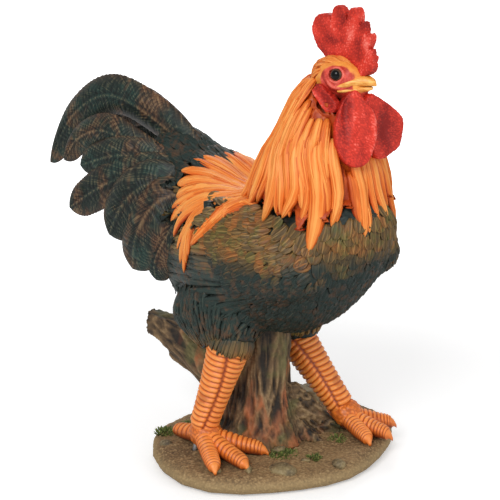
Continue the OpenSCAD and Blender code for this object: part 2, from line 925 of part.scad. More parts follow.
module lower_beak() {
    color("orange")
        difference() {
            beak_form(lower_beak_shares);
            beak_form(upper_beak_shares);
            head_form();
        }
}

// Comb: rounded lobes that stand on the crown. Rows hold each lobe: along the comb, up from
// the crown, its radius as a share of the height, and where its root lies
comb_lobe_shares = [[0.2, 0.5, 0.3, 0.36], [0.42, 0.82, 0.14, 0.45], [0.68, 0.8, 0.14, 0.58],
    [0.83, 0.6, 0.11, 0.7], [0.93, 0.35, 0.11, 0.77], [0.97, 0.06, 0.12, 0.82], [0.93, -0.22, 0.13, 0.83]];
comb_back_share = 0.08;
comb_base_share = 0.92;
comb_edge_share = 0.75;
comb_root_share = 0.2;
comb_dip_shares = [0.02, 0.1];

function comb_place(s, up) =
    head_place(right, [0, 0, comb_base_share]) + [comb_len * (s - comb_back_share), 0, comb_h * up];

module comb_ball(place, r, t) {
    translate(place) scale([1, t / r / 2, 1]) sphere(r, $fn = 8);
}

module comb_form() {
    for (s = comb_lobe_shares)
        hull() {
            comb_ball(comb_place(s[0], s[1]), comb_h * s[2], comb_t * comb_edge_share);
            comb_ball(comb_place(s[3], -comb_dip_shares[0] - s[0] * comb_dip_shares[1]),
                comb_h * comb_root_share, comb_t);
        }
}

module comb() {
    color("crimson")
        difference() {
            comb_form();
            head_form();
            hackle_form();
            beak_form(upper_beak_shares);
        }
}

// Wattles and ear lobes: flat drops that hang from the face. Rows: down, forward, half width, half thickness
drop_shares = [[0, 0, 0.2, 0.4], [0.15, 0, 0.5, 0.7], [0.4, 0, 0.92, 1],
    [0.65, 0.02, 1, 1], [0.86, 0.05, 0.72, 0.8], [1, 0.08, 0.2, 0.4]];
drop_spans = 6;
drop_sides = 8;

module drop_form(place, down, outward, length, w, t) {
    across = unit(cross(down, outward));
    chain([for (k = [0:drop_spans])
        let (s = curve(drop_shares, k / drop_spans))
        oval(place + down * length * s[0] + across * w * s[1],
            across * w / 2 * s[2], cross(across, down) * t / 2 * s[3], drop_sides)]);
}

wattle_place_shares = [0.72, 0.17, 0.22];

// The right wattle hangs straight and faces outward, the left one swings out and faces ahead
wattle_lean_shares = [[0.2, 0, -1], [0.24, 0.36, -1]];
wattle_turn_shares = [[0.75, -1, 0], [1, -0.1, 0.1]];

module wattle_form(side) {
    i = side == right ? 0 : 1;
    down = unit(wattle_lean_shares[i]);
    outward = unit(wattle_turn_shares[i] - down * (wattle_turn_shares[i] * down));
    drop_form(head_place(side, wattle_place_shares), down, outward, wattle_len, wattle_w, wattle_t);
}

// An ear lobe is a smaller drop that leans forward: its size follows the wattle's
earlobe_share = [0.34, 0.46, 0.3];
earlobe_lean_shares = [0.5, 0, -1];
earlobe_turn_shares = [-0.1, 1, 0.15];
earlobe_size_shares = [0.42, 0.36, 0.8];

module earlobe_form(side) {
    turn = [earlobe_turn_shares[0], side * earlobe_turn_shares[1], earlobe_turn_shares[2]];
    size = earlobe_size_shares;
    drop_form(head_place(side, earlobe_share), unit(earlobe_lean_shares), unit(turn),
        wattle_len * size[0], wattle_w * size[1], wattle_t * size[2]);
}

module wattle(side) {
    color("crimson")
        difference() {
            wattle_form(side);
            head_form();
            beak_form(upper_beak_shares);
            beak_form(lower_beak_shares);
            if (side == left) wattle_form(right);
        }
}

module right_wattle() {
    wattle(right);
}

module left_wattle() {
    wattle(left);
}

module earlobe(side) {
    color("crimson")
        difference() {
            earlobe_form(side);
            head_form();
        }
}

module right_earlobe() {
    earlobe(right);
}

module left_earlobe() {
    earlobe(left);
}

// Tail: feathers fan out behind the torso. Rows hold a quill's points: backward, upward and
// outward as shares of the feather's reach
tail_rise_share = 0.89;

function tail_place(side, reach, s) =
    let (own = side == left ? left_tail_shares : [1, 1, 1])
    [rear_x - reach * s[0] * own[0],
        side * reach * s[2] * own[2],
        belly_z + body_h * tail_rise_share + reach * s[1] * own[1]];

sickle_quill_shares = [[-0.14, 0.02, 0.03], [0.22, 0.22, 0.06], [0.56, 0.31, 0.1],
    [0.84, 0.16, 0.14], [1.04, -0.14, 0.17]];
lesser_quill_shares = [[-0.06, -0.08, 0.12], [0.3, 0.07, 0.2], [0.6, 0.17, 0.25],
    [0.86, 0.08, 0.28], [1.03, -0.1, 0.29]];
left_tail_shares = [0.86, 0.78, 0.88];
sickle_width_shares = [[0.55, 0.9], [0.95, 1], [1, 1], [0.95, 0.9], [0.75, 0.8], [0.2, 0.4]];
fan_width_shares = [[0.5, 0.8], [0.85, 1], [1, 1], [1, 0.9], [0.8, 0.8], [0.3, 0.4]];

module feather(side, reach, quill_rows, w, width_rows, spans = 10, sides = 6) {
    chain(blade_rings([for (k = [0:spans]) tail_place(side, reach, curve(quill_rows, k / spans))],
        [0, side, 0], w, feather_t, width_rows, sides));
}

module sickle_form(side) {
    feather(side, sickle_reach, sickle_quill_shares, sickle_w, sickle_width_shares, 12);
}

module lesser_form(side) {
    feather(side, lesser_reach, lesser_quill_shares, lesser_w, sickle_width_shares);
}

fan_quill_shares = [
    [[-0.1, -0.05, 0.12], [0.22, 0.02, 0.2], [0.51, 0.03, 0.31], [0.93, -0.11, 0.365]],
    [[-0.1, -0.05, 0.14], [0.22, -0.06, 0.26], [0.58, -0.2, 0.37], [1, -0.46, 0.435]],
    [[-0.12, -0.09, 0.17], [0.14, -0.14, 0.33], [0.32, -0.31, 0.42], [0.48, -0.58, 0.45]],
    [[-0.17, -0.15, 0.2], [0, -0.26, 0.365], [0.13, -0.51, 0.45], [0.2, -0.8, 0.45]],
    [[-0.22, -0.22, 0.22], [-0.16, -0.45, 0.37], [-0.05, -0.68, 0.42], [-0.02, -0.85, 0.4]]];
fan_size_shares = [0.78, 0.85, 1.02, 1, 0.6];

module fan_form(side) {
    for (k = [0:len(fan_quill_shares) - 1])
        feather(side, fan_reach, fan_quill_shares[k], fan_w * fan_size_shares[k], fan_width_shares, 5, 5);
}

// Rows run backward from inside the torso: back, up, half width and half height
tail_root_shares = [[-0.4, -0.12, 0.2, 0.14], [-0.2, -0.05, 0.21, 0.2], [0, 0.04, 0.2, 0.23],
    [0.25, 0.04, 0.17, 0.22], [0.45, -0.04, 0.06, 0.1]];
tail_root_spans = 5;
tail_root_sides = 10;

module tail_root_form() {
    chain([for (k = [0:tail_root_spans])
        let (s = curve(tail_root_shares, k / tail_root_spans))
        oval(tail_place(right, fan_reach, [s[0], s[1], 0]),
            [0, fan_reach * s[2], 0], [0, 0, fan_reach * s[3]], tail_root_sides)]);
}

module tail_root() {
    color("darkslategray")
        difference() {
            tail_root_form();
            torso_form();
            saddle_form();
        }
}

module sickle(side) {
    color("darkslategray")
        difference() {
            sickle_form(side);
            torso_form();
            saddle_form();
            tail_root_form();
        }
}

module lesser_sickle(side) {
    color("darkslategray")
        difference() {
            lesser_form(side);
            torso_form();
            saddle_form();
            tail_root_form();
            sickle_form(side);
        }
}

module tail_fan(side) {
    color("darkslategray")
        difference() {
            fan_form(side);
            torso_form();
            saddle_form();
            tail_root_form();
            sickle_form(side);
            lesser_form(side);
            wing_form(side);
            thigh_form(side);
        }
}

module right_sickle() {
    sickle(right);
}

module left_sickle() {
    sickle(left);
}

module right_lesser_sickle() {
    lesser_sickle(right);
}

module left_lesser_sickle() {
    lesser_sickle(left);
}

module right_tail_fan() {
    tail_fan(right);
}

module left_tail_fan() {
    tail_fan(left);
}

felt_sheet();
ground_base();
set_stones();
moss_tufts();
stump();
rear_branch();
right_shank();
left_shank();
right_foot();
left_foot();
right_leg_rod();
left_leg_rod();
torso();
right_thigh();
left_thigh();
right_wing();
left_wing();
saddle();
hackle();
head();
upper_beak();
lower_beak();
comb();
right_wattle();
left_wattle();
right_earlobe();
left_earlobe();
right_eye();
left_eye();
tail_root();
right_sickle();
left_sickle();
right_lesser_sickle();
left_lesser_sickle();
right_tail_fan();
left_tail_fan();
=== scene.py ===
# %% [markdown]
# # A painted rooster on a stump
# The real object is a cast-resin garden rooster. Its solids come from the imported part, and this lesson dresses
# them: every feather, scute and ridge of bark is a mesh, and every finish is a painted one. All lengths are in
# metres, in the part's own frame: the bird faces +X, its left side is +Y and the felt rests on Z = 0.

# %% The frame
import math
import random
import time

import bpy
import numpy as np
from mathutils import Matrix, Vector, noise
from mathutils.bvhtree import BVHTree


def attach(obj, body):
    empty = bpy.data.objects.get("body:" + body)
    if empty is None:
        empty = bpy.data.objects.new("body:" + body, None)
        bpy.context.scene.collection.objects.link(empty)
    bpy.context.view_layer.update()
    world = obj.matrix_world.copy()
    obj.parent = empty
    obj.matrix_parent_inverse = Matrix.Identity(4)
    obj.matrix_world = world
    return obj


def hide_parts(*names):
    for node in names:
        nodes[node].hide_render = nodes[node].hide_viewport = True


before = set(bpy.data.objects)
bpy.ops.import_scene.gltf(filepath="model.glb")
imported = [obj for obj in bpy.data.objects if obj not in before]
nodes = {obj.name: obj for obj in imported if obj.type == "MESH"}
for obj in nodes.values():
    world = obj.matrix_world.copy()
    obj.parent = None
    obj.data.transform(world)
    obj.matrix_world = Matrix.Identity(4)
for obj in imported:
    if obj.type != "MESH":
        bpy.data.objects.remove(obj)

MM = 0.001
started = time.time()
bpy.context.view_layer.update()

# %% [markdown]
# ## Camera, floor and soft light
# The photograph looks at the bird's front right from a little above, from about three times its height away.
# A long lens keeps the sides of the stump nearly parallel. A broad lamp over the camera's left shoulder and a pale
# surrounding give the soft light of a studio, and the floor is made white for the camera alone.

# %% Camera, floor and lamps
AZIMUTH, ELEVATION, DISTANCE = math.radians(-45), math.radians(16), 1.25
# The lens in millimetres, and how far the picture is shifted, as shares of its width
LENS, SHIFT = 105.88, (-0.046, -0.0343)
aim = Vector((0, 0, 0.2))
flat = math.cos(ELEVATION)
toward = Vector((flat * math.cos(AZIMUTH), flat * math.sin(AZIMUTH), math.sin(ELEVATION)))


def look_from(thing, place, at):
    """Puts a camera or a lamp at a place and turns it to look at a point."""
    thing.location = place
    thing.rotation_euler = (at - place).to_track_quat("-Z", "Y").to_euler()


def deselect():
    bpy.ops.object.select_all(action="DESELECT")


def select_only(*things):
    """Selects these objects and nothing else, the first one active."""
    deselect()
    for thing in things:
        thing.select_set(True)
    bpy.context.view_layer.objects.active = things[0]


def added(name, add, **settings):
    """Adds something with an operator, on its own, and names it."""
    deselect()
    add(**settings)
    bpy.context.object.name = name
    return bpy.context.object


camera = added("camera", bpy.ops.object.camera_add)
look_from(camera, aim + toward * DISTANCE, aim)
camera.data.lens = LENS
camera.data.shift_x, camera.data.shift_y = SHIFT
bpy.context.scene.camera = camera


def soft_lamp(name, place, size, power):
    """A square area lamp that looks at the bird."""
    lamp = added(name, bpy.ops.object.light_add, type="AREA")
    look_from(lamp, Vector(place), aim)
    lamp.data.size = size
    lamp.data.energy = power


soft_lamp("key_lamp", (0.75, -1.9, 1.7), 1.2, 33)
soft_lamp("fill_lamp", (2.1, 0.3, 1.0), 1.6, 11)
soft_lamp("rim_lamp", (-1.4, 1.3, 1.5), 1.0, 12)

floor = added("floor", bpy.ops.mesh.primitive_plane_add, size=40)

# %% [markdown]
# ## Paint as expressions
# Each finish is a small tree of shader nodes. Writing `low + (high - low) * mask` is easier to read than a
# picture of wires, so one class wraps a node's output and turns arithmetic into Math nodes.

# %% The paint kit
def srgb(code):
    """A colour written as on the web, made linear as Blender wants it."""
    parts = [int(code[i:i + 2], 16) / 255 for i in (1, 3, 5)]
    return [p / 12.92 if p <= 0.04045 else ((p + 0.055) / 1.055) ** 2.4 for p in parts] + [1.0]


class Value:
    """A number that varies over the surface. Arithmetic on it adds Math nodes."""

    def __init__(self, paint, socket):
        self.paint = paint
        self.socket = socket

    def _math(self, operation, first, second, clamp=False):
        return self.paint.node("ShaderNodeMath", {"operation": operation, "use_clamp": clamp}, {0: first, 1: second})

    def __add__(self, other):
        return self._math("ADD", self, other)

    __radd__ = __add__

    def __sub__(self, other):
        return self._math("SUBTRACT", self, other)

    def __rsub__(self, other):
        return self._math("SUBTRACT", other, self)

    def __mul__(self, other):
        return self._math("MULTIPLY", self, other)

    __rmul__ = __mul__

    def __truediv__(self, other):
        return self._math("DIVIDE", self, other)

    def __pow__(self, other):
        return self._math("POWER", self, other)

    def kept(self):
        """The value held between 0 and 1."""
        return self._math("ADD", self, 0.0, clamp=True)

    def step(self, low, high):
        """0 below low, 1 above high and smooth between."""
        return self.paint.node("ShaderNodeMapRange", {"interpolation_type": "SMOOTHSTEP"},
                               {"Value": self, "From Min": low, "From Max": high})


class Paint:
    """A material made of expressions."""

    def __init__(self, name):
        self.material = bpy.data.materials.new(name)
        self.material.use_nodes = True
        self.tree = self.material.node_tree
        self.shader = next(n for n in self.tree.nodes if n.type == "BSDF_PRINCIPLED")

    def put(self, socket, value):
        if isinstance(value, Value):
            self.tree.links.new(value.socket, socket)
        else:
            socket.default_value = value

    def node(self, kind, settings, sockets, out=0):
        """Any node: its kind, its settings, and the values or links of its sockets."""
        made = self.tree.nodes.new(kind)
        for key, value in settings.items():
            setattr(made, key, value)
        for key, value in sockets.items():
            self.put(made.inputs[key], value)
        return Value(self, made.outputs[out])

    def place(self):
        return self.node("ShaderNodeTexCoord", {}, {}, "Object")

    def coordinate(self, axis):
        return self.node("ShaderNodeSeparateXYZ", {}, {0: self.place()}, axis)

    def attribute(self, name):
        return self.node("ShaderNodeAttribute", {"attribute_name": name}, {}, "Fac")

    def cloud(self, scale, detail=3.0, rough=0.55, stretch=None):
        """Soft noise about 0.5, its scale in lumps to the metre."""
        spot = self.place()
        if stretch:
            spot = self.node("ShaderNodeVectorMath", {"operation": "MULTIPLY"}, {0: spot, 1: stretch})
        return self.node("ShaderNodeTexNoise", {},
                         {"Vector": spot, "Scale": scale, "Detail": detail, "Roughness": rough})

    def pebbles(self, scale):
        return self.node("ShaderNodeTexVoronoi", {}, {"Vector": self.place(), "Scale": scale}, "Distance")

    def mix(self, first, second, share):
        """A colour between two others, each a Value or a code."""
        first, second = (srgb(colour) if isinstance(colour, str) else colour for colour in (first, second))
        return self.node("ShaderNodeMix", {"data_type": "RGBA"}, {0: share, 6: first, 7: second}, 2)

    def bump(self, height, strength, distance):
        return self.node("ShaderNodeBump", {}, {"Height": height, "Strength": strength, "Distance": distance})

    def finish(self, colour, rough, normal=None, **plain):
        self.put(self.shader.inputs["Base Color"], colour)
        self.put(self.shader.inputs["Roughness"], rough)
        if normal:
            self.put(self.shader.inputs["Normal"], normal)
        for key, value in plain.items():
            self.put(self.shader.inputs[key.replace("_", " ")], value)
        return self.material

# %% The floor's finish and the pale surrounding
def studio_floor():
    """White to the camera, and a little more so away from the bird, whose soft shadow stays."""
    paint = Paint("studio_floor")
    seen = paint.node("ShaderNodeLightPath", {}, {}, "Is Camera Ray")
    x, y = paint.coordinate("X"), paint.coordinate("Y")
    far = ((x * x + y * y) ** 0.5).step(0.25, 1.1)
    glow = seen * (far * 0.65 + 0.35)
    return paint.finish((0.8, 0.8, 0.8, 1), 0.9, Emission_Color=(1, 1, 1, 1), Emission_Strength=glow)


def studio_world():
    world = bpy.data.worlds.new("studio_world")
    world.use_nodes = True
    tree = world.node_tree
    back = tree.nodes["Background"]
    path = tree.nodes.new("ShaderNodeLightPath")
    level = tree.nodes.new("ShaderNodeMapRange")
    level.inputs["To Min"].default_value = 0.5
    tree.links.new(path.outputs["Is Camera Ray"], level.inputs["Value"])
    tree.links.new(level.outputs[0], back.inputs["Strength"])
    back.inputs["Color"].default_value = (1, 1, 1, 1)
    bpy.context.scene.world = world


floor.data.materials.append(studio_floor())
studio_world()
bpy.context.scene.view_settings.view_transform = "Standard"

# %% [markdown]
# ## Forms taken from the part
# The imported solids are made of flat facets. A copy of them, merged, joined and remeshed in small voxels, becomes
# one smooth form in the same place. It serves twice: as the under-layer that shows between the feathers, and
# as the skin that the feathers are laid on.

# %% Smooth copies of the solids
def joined(name, pieces):
    """Several bodies as one piece."""
    select_only(*pieces)
    if len(pieces) > 1:
        bpy.ops.object.join()
    piece = bpy.context.view_layer.objects.active
    piece.name = name
    return piece


def remeshed(piece, voxel, rounds):
    """Rebuilds a piece in small voxels and smooths it in rounds."""
    remesh = piece.modifiers.new("voxels", "REMESH")
    remesh.mode = "VOXEL"
    remesh.voxel_size = voxel
    ease = piece.modifiers.new("ease", "SMOOTH")
    ease.factor = 0.5
    ease.iterations = rounds
    select_only(piece)
    for modifier in list(piece.modifiers):
        bpy.ops.object.modifier_apply(modifier=modifier.name)


def smooth_form(name, names, voxel, rounds):
    """One smooth closed form made from the named solids."""
    copies = []
    for node in names:
        copy = bpy.data.objects.new(name, nodes[node].data.copy())
        copy.data.materials.clear()
        bpy.context.collection.objects.link(copy)
        copies.append(copy)
    piece = joined(name, copies)
    bpy.ops.object.mode_set(mode="EDIT")
    bpy.ops.mesh.select_all(action="SELECT")
    bpy.ops.mesh.remove_doubles(threshold=1e-5)
    bpy.ops.object.mode_set(mode="OBJECT")
    remeshed(piece, voxel, rounds)
    return piece


def skin_of(piece):
    """A search tree over a piece's surface."""
    mesh = piece.data
    return BVHTree.FromPolygons([v.co.copy() for v in mesh.vertices], [tuple(p.vertices) for p in mesh.polygons])


def deliver(piece, slot, material, *replaced):
    """Gives a piece its finish and its place in the part's tree."""
    piece.data.materials.clear()
    piece.data.materials.append(material)
    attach(piece, "root")
    if replaced:
        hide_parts(*replaced)
    print(piece.name, len(piece.data.polygons), "faces", round(time.time() - started, 1), "s")


PLUMED = ["torso", "right_thigh", "left_thigh", "right_wing", "left_wing", "saddle", "hackle", "tail_root"]
# One form of all the plumage, for scattering feathers, and a smoother one with the head, for laying them
plumage = smooth_form("plumage", PLUMED, 2.5 * MM, 6)
flow_form = smooth_form("flow_form", PLUMED + ["head"], 4 * MM, 14)
flow_skin = skin_of(flow_form)
node_skins = {name: skin_of(nodes[name]) for name in PLUMED}
bpy.data.objects.remove(flow_form)

# %% [markdown]
# ## One feather, laid many times
# A cast feather is a closed leaf with a raised middle and a groove on each side. It is modelled once, on a straight
# line: a filled ring of corners is extruded from station to station and resized each time, as by hand. Each copy is
# then bent along its own line over the skin, so that hundreds of feathers cost little and still all differ.

# %% Modelling a straight feather
def straight_feather(name, section, stations):
    """A closed leaf along X from 0 to 1. section holds the corners across (y, z) and stations (x, width, depth)."""
    ring = added(name, bpy.ops.mesh.primitive_circle_add, vertices=len(section), radius=1, fill_type="NGON")
    x, width, depth = stations[0]
    for corner, (across, up) in zip(ring.data.vertices, section):
        corner.co = (x, across * width, up * depth)
    bpy.ops.object.mode_set(mode="EDIT")
    bpy.ops.mesh.select_all(action="SELECT")
    for (x0, w0, d0), (x1, w1, d1) in zip(stations, stations[1:]):
        bpy.ops.mesh.extrude_region_move(TRANSFORM_OT_translate={"value": (x1 - x0, 0, 0)})
        bpy.ops.transform.resize(value=(1, w1 / w0, d1 / d0), center_override=(x1, 0, 0))
    bpy.ops.mesh.select_all(action="SELECT")
    bpy.ops.mesh.quads_convert_to_tris()
    bpy.ops.mesh.normals_make_consistent(inside=False)
    bpy.ops.object.mode_set(mode="OBJECT")
    points = np.array([v.co for v in ring.data.vertices])
    faces = [tuple(p.vertices) for p in ring.data.polygons]
    places = [s[0] for s in stations]
    widths = np.interp(points[:, 0], places, [s[1] for s in stations])
    depths = np.interp(points[:, 0], places, [s[2] for s in stations])
    bpy.data.objects.remove(ring)
    print(name, len(faces), "faces")
    return {"points": points, "faces": faces, "across": points[:, 1] / widths,
            "ridge": np.clip(points[:, 2] / depths, 0, 1)}


FLUTED = [(-1, -0.1), (-0.88, 0.4), (-0.66, 0.46), (-0.5, 0.8), (-0.28, 0.68), (-0.04, 1), (0.2, 0.98), (0.4, 0.66),
          (0.62, 0.68), (0.84, 0.4), (1, -0.1), (0, -0.5)]
TILED = [(-1, 0), (-0.84, 0.75), (-0.5, 0.45), (-0.13, 0.55), (0, 1), (0.13, 0.55), (0.5, 0.45), (0.84, 0.75), (1, 0),
         (0, -0.5)]
RIBBED = [(-1, 0), (-0.55, 0.62), (0, 1), (0.55, 0.6), (1, 0), (0, -0.4)]
lock = straight_feather("lock", FLUTED, [
    (0, 0.5, 0.3), (0.08, 0.78, 0.7), (0.2, 0.94, 0.95), (0.36, 1, 1), (0.52, 1, 1), (0.66, 0.97, 1),
    (0.78, 0.87, 0.95), (0.88, 0.66, 0.8), (0.955, 0.38, 0.55), (1, 0.04, 0.15)])
scale = straight_feather("scale", TILED, [
    (0, 0.45, 0.4), (0.2, 0.8, 0.8), (0.45, 1, 1), (0.7, 0.97, 1), (0.88, 0.72, 1), (0.97, 0.4, 0.8), (1, 0.2, 0.25)])
strand = straight_feather("strand", RIBBED, [
    (0, 0.45, 0.4), (0.25, 0.9, 0.9), (0.55, 1, 1), (0.82, 0.62, 0.8), (1, 0.05, 0.2)])

# %% Bending the copies along their lines
def held(number):
    """The number held between 0 and 1."""
    return min(1.0, max(0.0, number))


def hill(spot, middle, width):
    """1 at the middle and fading to either side, for a number or an array."""
    return np.exp(-((spot - middle) / width) ** 2)


def between(rows, share):
    """Smooth value of a table of rows, for a share from 0 to 1."""
    rows = np.asarray(rows, float)
    last = len(rows) - 1
    s = held(share) * last
    i = min(int(s), last - 1)
    u = s - i
    b, c = rows[i], rows[i + 1]
    a = rows[i - 1] if i else 2 * b - c
    d = rows[i + 2] if i + 2 <= last else 2 * c - b
    return b + 0.5 * u * ((c - a) + u * ((2 * a - 5 * b + 4 * c - d) + u * (3 * (b - c) + d - a)))


def eased(lines, rounds):
    """Takes the kinks out of rows of points while their ends stay."""
    for _ in range(rounds):
        lines[1:-1] = (lines[:-2] + 2 * lines[1:-1] + lines[2:]) / 4
    return lines


def mark(mesh, key, values):
    """Keeps a number for each corner of a mesh."""
    mesh.attributes.new(key, "FLOAT", "POINT").data.foreach_set("value", values)


def lay(name, courses):
    """One mesh of many feathers. A course is (shape, line, normals, half width, depth, tone)."""
    points, faces, marks, first = [], [], {"ridge": [], "across": [], "along": [], "tone": []}, 0
    for shape, line, normals, width, depth, tone in courses:
        line = np.asarray(line)
        ahead = np.gradient(line, axis=0)
        ahead /= np.linalg.norm(ahead, axis=1)[:, None] + 1e-12
        across = np.cross(np.asarray(normals), ahead)
        across /= np.linalg.norm(across, axis=1)[:, None] + 1e-12
        up = np.cross(ahead, across)
        own = shape["points"]
        reach = np.linspace(0, 1, len(line))
        spot, side, rise = (np.column_stack([np.interp(own[:, 0], reach, row[:, i]) for i in range(3)])
                            for row in (line, across, up))
        points.append(spot + side * (own[:, 1:2] * width) + rise * (own[:, 2:3] * depth))
        faces += [tuple(first + i for i in face) for face in shape["faces"]]
        first += len(own)
        marks["ridge"].append(shape["ridge"])
        marks["across"].append(shape["across"])
        marks["along"].append(own[:, 0])
        marks["tone"].append(np.full(len(own), tone))
    mesh = bpy.data.meshes.new(name)
    mesh.from_pydata(np.concatenate(points).tolist(), [], faces)
    piece = bpy.data.objects.new(name, mesh)
    bpy.context.collection.objects.link(piece)
    for key, rows in marks.items():
        mark(mesh, key, np.concatenate(rows))
    select_only(piece)
    bpy.ops.object.shade_smooth()
    return piece


def march(start, heading, length, sink, lift, veer, skin=None, steps=6):
    """A line over the skin. heading gives the way to go at a point; the line starts sunk and ends lifted."""
    skin = skin or flow_skin
    at, normal, _, _ = skin.find_nearest(Vector(start))
    line, normals = [], []
    for k in range(steps + 1):
        share = k / steps
        normals.append(normal.copy())
        line.append(at + normal * (sink * (1 - share) + lift * share))
        way = heading(at).copy()
        way -= normal * way.dot(normal)
        if way.length < 1e-6:
            way = Vector((0, 0, -1))
        way.normalize()
        way += normal.cross(way) * veer * (share - 0.3)
        at, near, _, _ = skin.find_nearest(at + way.normalized() * (length / steps))
        normal = (normal + near * 1.4).normalized()
    return eased(np.array(line), 3), eased(np.array(normals), 2)


# The share of a line in which it rises from its sunk root
RISE_SHARE = 0.35


def hug(line, sink, clear, reach):
    """Lays a line on the skin, sunk at its root and clear further on. A point well outside the skin stays."""
    line, normals = np.array(line), []
    for k, spot in enumerate(line):
        near, normal, _, gap = flow_skin.find_nearest(Vector(spot))
        share = min(1.0, k / (RISE_SHARE * len(line)))
        if gap < reach or (Vector(spot) - near).dot(normal) < 0:
            line[k] = near + normal * (sink * (1 - share) + clear * share)
        normals.append(np.array(normal))
    return eased(line, 2), eased(np.array(normals), 3)

# %% [markdown]
# ## Plumage paint
# The casting is painted a dark colour first, then brushed nearly dry with lighter ones that only catch the
# raised ribs. The shape carries that: every feather knows how near a corner is to a ridge, how far it lies along the
# feather, and a tone of its own.

# %% Hairs and the orange coat
def hairs(paint, fine=7.0, long=1.3):
    """Fine streaks along each feather, from its own marks across and along."""
    spot = paint.node("ShaderNodeCombineXYZ", {}, {0: paint.attribute("across") * fine,
                                                   1: paint.attribute("along") * long, 2: paint.attribute("tone") * 40})
    return paint.node("ShaderNodeTexNoise", {}, {"Vector": spot, "Scale": 1.0, "Detail": 2.0, "Roughness": 0.5})


def orange_coat():
    """Rust in the grooves, orange on the feather and light orange on its ridges."""
    paint = Paint("orange_plumage")
    ridge, tone = paint.attribute("ridge"), paint.attribute("tone")
    hair = hairs(paint)
    cloud = paint.cloud(45, 2.0)
    worn = (ridge * 1.25 + (hair - 0.5) * 2.2 + (tone - 0.5) * 0.5 + 0.05).kept()
    catch = ((ridge - 0.6) * 1.5 + (hair - 0.5) * 3.0 + (tone - 0.5) * 0.7 + (cloud - 0.5) * 1.2).kept()
    colour = paint.mix(paint.mix("#A83A0C", "#EC741F", worn), "#FDB25C", catch * 0.8)
    return paint.finish(colour, 0.45, paint.bump(hair, 0.6, 0.8 * MM), Specular_IOR_Level=0.35)


orange = orange_coat()

# %% [markdown]
# ## Long closed bodies
# Tail feathers, shanks and toes are long bodies whose outline changes all the way. Each starts as a cylinder whose
# side edges are subdivided into as many rings as it needs. Then the rings' corners are moved to their places.

# %% Bodies made of rings
def face_outward():
    """Turns the active object's faces outward."""
    bpy.ops.object.mode_set(mode="EDIT")
    bpy.ops.mesh.select_all(action="SELECT")
    bpy.ops.mesh.normals_make_consistent(inside=False)
    bpy.ops.object.mode_set(mode="OBJECT")


def ringed_body(name, rings, marks):
    """A closed body over rows of corners. marks holds attributes in rows like the rings."""
    rings = np.asarray(rings)
    count, sides = rings.shape[:2]
    piece = added(name, bpy.ops.mesh.primitive_cylinder_add, vertices=sides, radius=1, depth=2, end_fill_type="NGON")
    bpy.ops.object.mode_set(mode="EDIT")
    bpy.ops.mesh.select_mode(type="EDGE")
    bpy.ops.mesh.select_all(action="DESELECT")
    bpy.ops.object.mode_set(mode="OBJECT")
    rungs = count - 1
    parts = next(k for k in range(int(math.sqrt(rungs)), 0, -1) if rungs % k == 0)
    for cuts in (parts - 1, rungs // parts - 1):
        if cuts < 1:
            continue
        for edge in piece.data.edges:
            a, b = (piece.data.vertices[i].co for i in edge.vertices)
            edge.select = abs(a.z - b.z) > 1e-6
        bpy.ops.object.mode_set(mode="EDIT")
        bpy.ops.mesh.subdivide(number_cuts=cuts)
        bpy.ops.mesh.select_all(action="DESELECT")
        bpy.ops.object.mode_set(mode="OBJECT")
    mesh = piece.data
    spots = np.array([corner.co for corner in mesh.vertices])
    level = np.rint((spots[:, 2] + 1) / 2 * rungs).astype(int)
    turn = np.rint(np.arctan2(spots[:, 1], spots[:, 0]) / (2 * math.pi) * sides).astype(int) % sides
    mesh.vertices.foreach_set("co", rings[level, turn].ravel())
    for key, rows in marks.items():
        mark(mesh, key, np.asarray(rows, float)[level, turn])
    face_outward()
    bpy.ops.object.shade_smooth()
    return piece


def swept(name, count, sides, ring_at):
    """A ringed body. ring_at(u) returns a function of the angle round a ring, which gives (place, ridge mark)."""
    rings, marks = [], []
    for k in range(count):
        spot_at = ring_at(k / (count - 1))
        row = [spot_at(2 * math.pi * j / sides) for j in range(sides)]
        rings.append([tuple(spot) for spot, _ in row])
        marks.append([mark for _, mark in row])
    return ringed_body(name, rings, {"ridge": marks})

# %% [markdown]
# ## The comb, the wattles and the ear lobes
# These are soft plates of pebbled skin. A plate starts as a filled outline that is extruded to its thickness and
# remeshed. Smoothing rounds its rim, then folds and pebbles are pressed into it along its normals.

# %% Plates with rounded rims
def plate(name, outline, thick, voxel, rounds):
    """A flat closed plate in its own X and Y, thick along Z, from an outline of corners in metres."""
    piece = added(name, bpy.ops.mesh.primitive_circle_add, vertices=len(outline), radius=1, fill_type="NGON")
    for corner, (x, y) in zip(piece.data.vertices, outline):
        corner.co = (x, y, -thick / 2)
    bpy.ops.object.mode_set(mode="EDIT")
    bpy.ops.mesh.select_all(action="SELECT")
    bpy.ops.mesh.extrude_region_move(TRANSFORM_OT_translate={"value": (0, 0, thick)})
    bpy.ops.object.mode_set(mode="OBJECT")
    face_outward()
    remeshed(piece, voxel, rounds)
    bpy.ops.object.shade_smooth()
    return piece


def sculpt(piece, carve):
    """Moves each corner along its normal by carve(place, normal) -> (distance, ridge mark)."""
    mesh = piece.data
    cuts = [carve(v.co, v.normal) for v in mesh.vertices]
    spots = [v.co + v.normal * cut[0] for v, cut in zip(mesh.vertices, cuts)]
    for vertex, spot in zip(mesh.vertices, spots):
        vertex.co = spot
    if "ridge" not in mesh.attributes:
        mesh.attributes.new("ridge", "FLOAT", "POINT")
    mesh.attributes["ridge"].data.foreach_set("value", [cut[1] for cut in cuts])
    mesh.update()
    select_only(piece)
    bpy.ops.object.shade_smooth()


def pebble(place, size):
    """0 between pebbles and 1 on their tops."""
    gap = noise.voronoi(place / size)[0]
    return held((gap[1] - gap[0]) * 2.2)

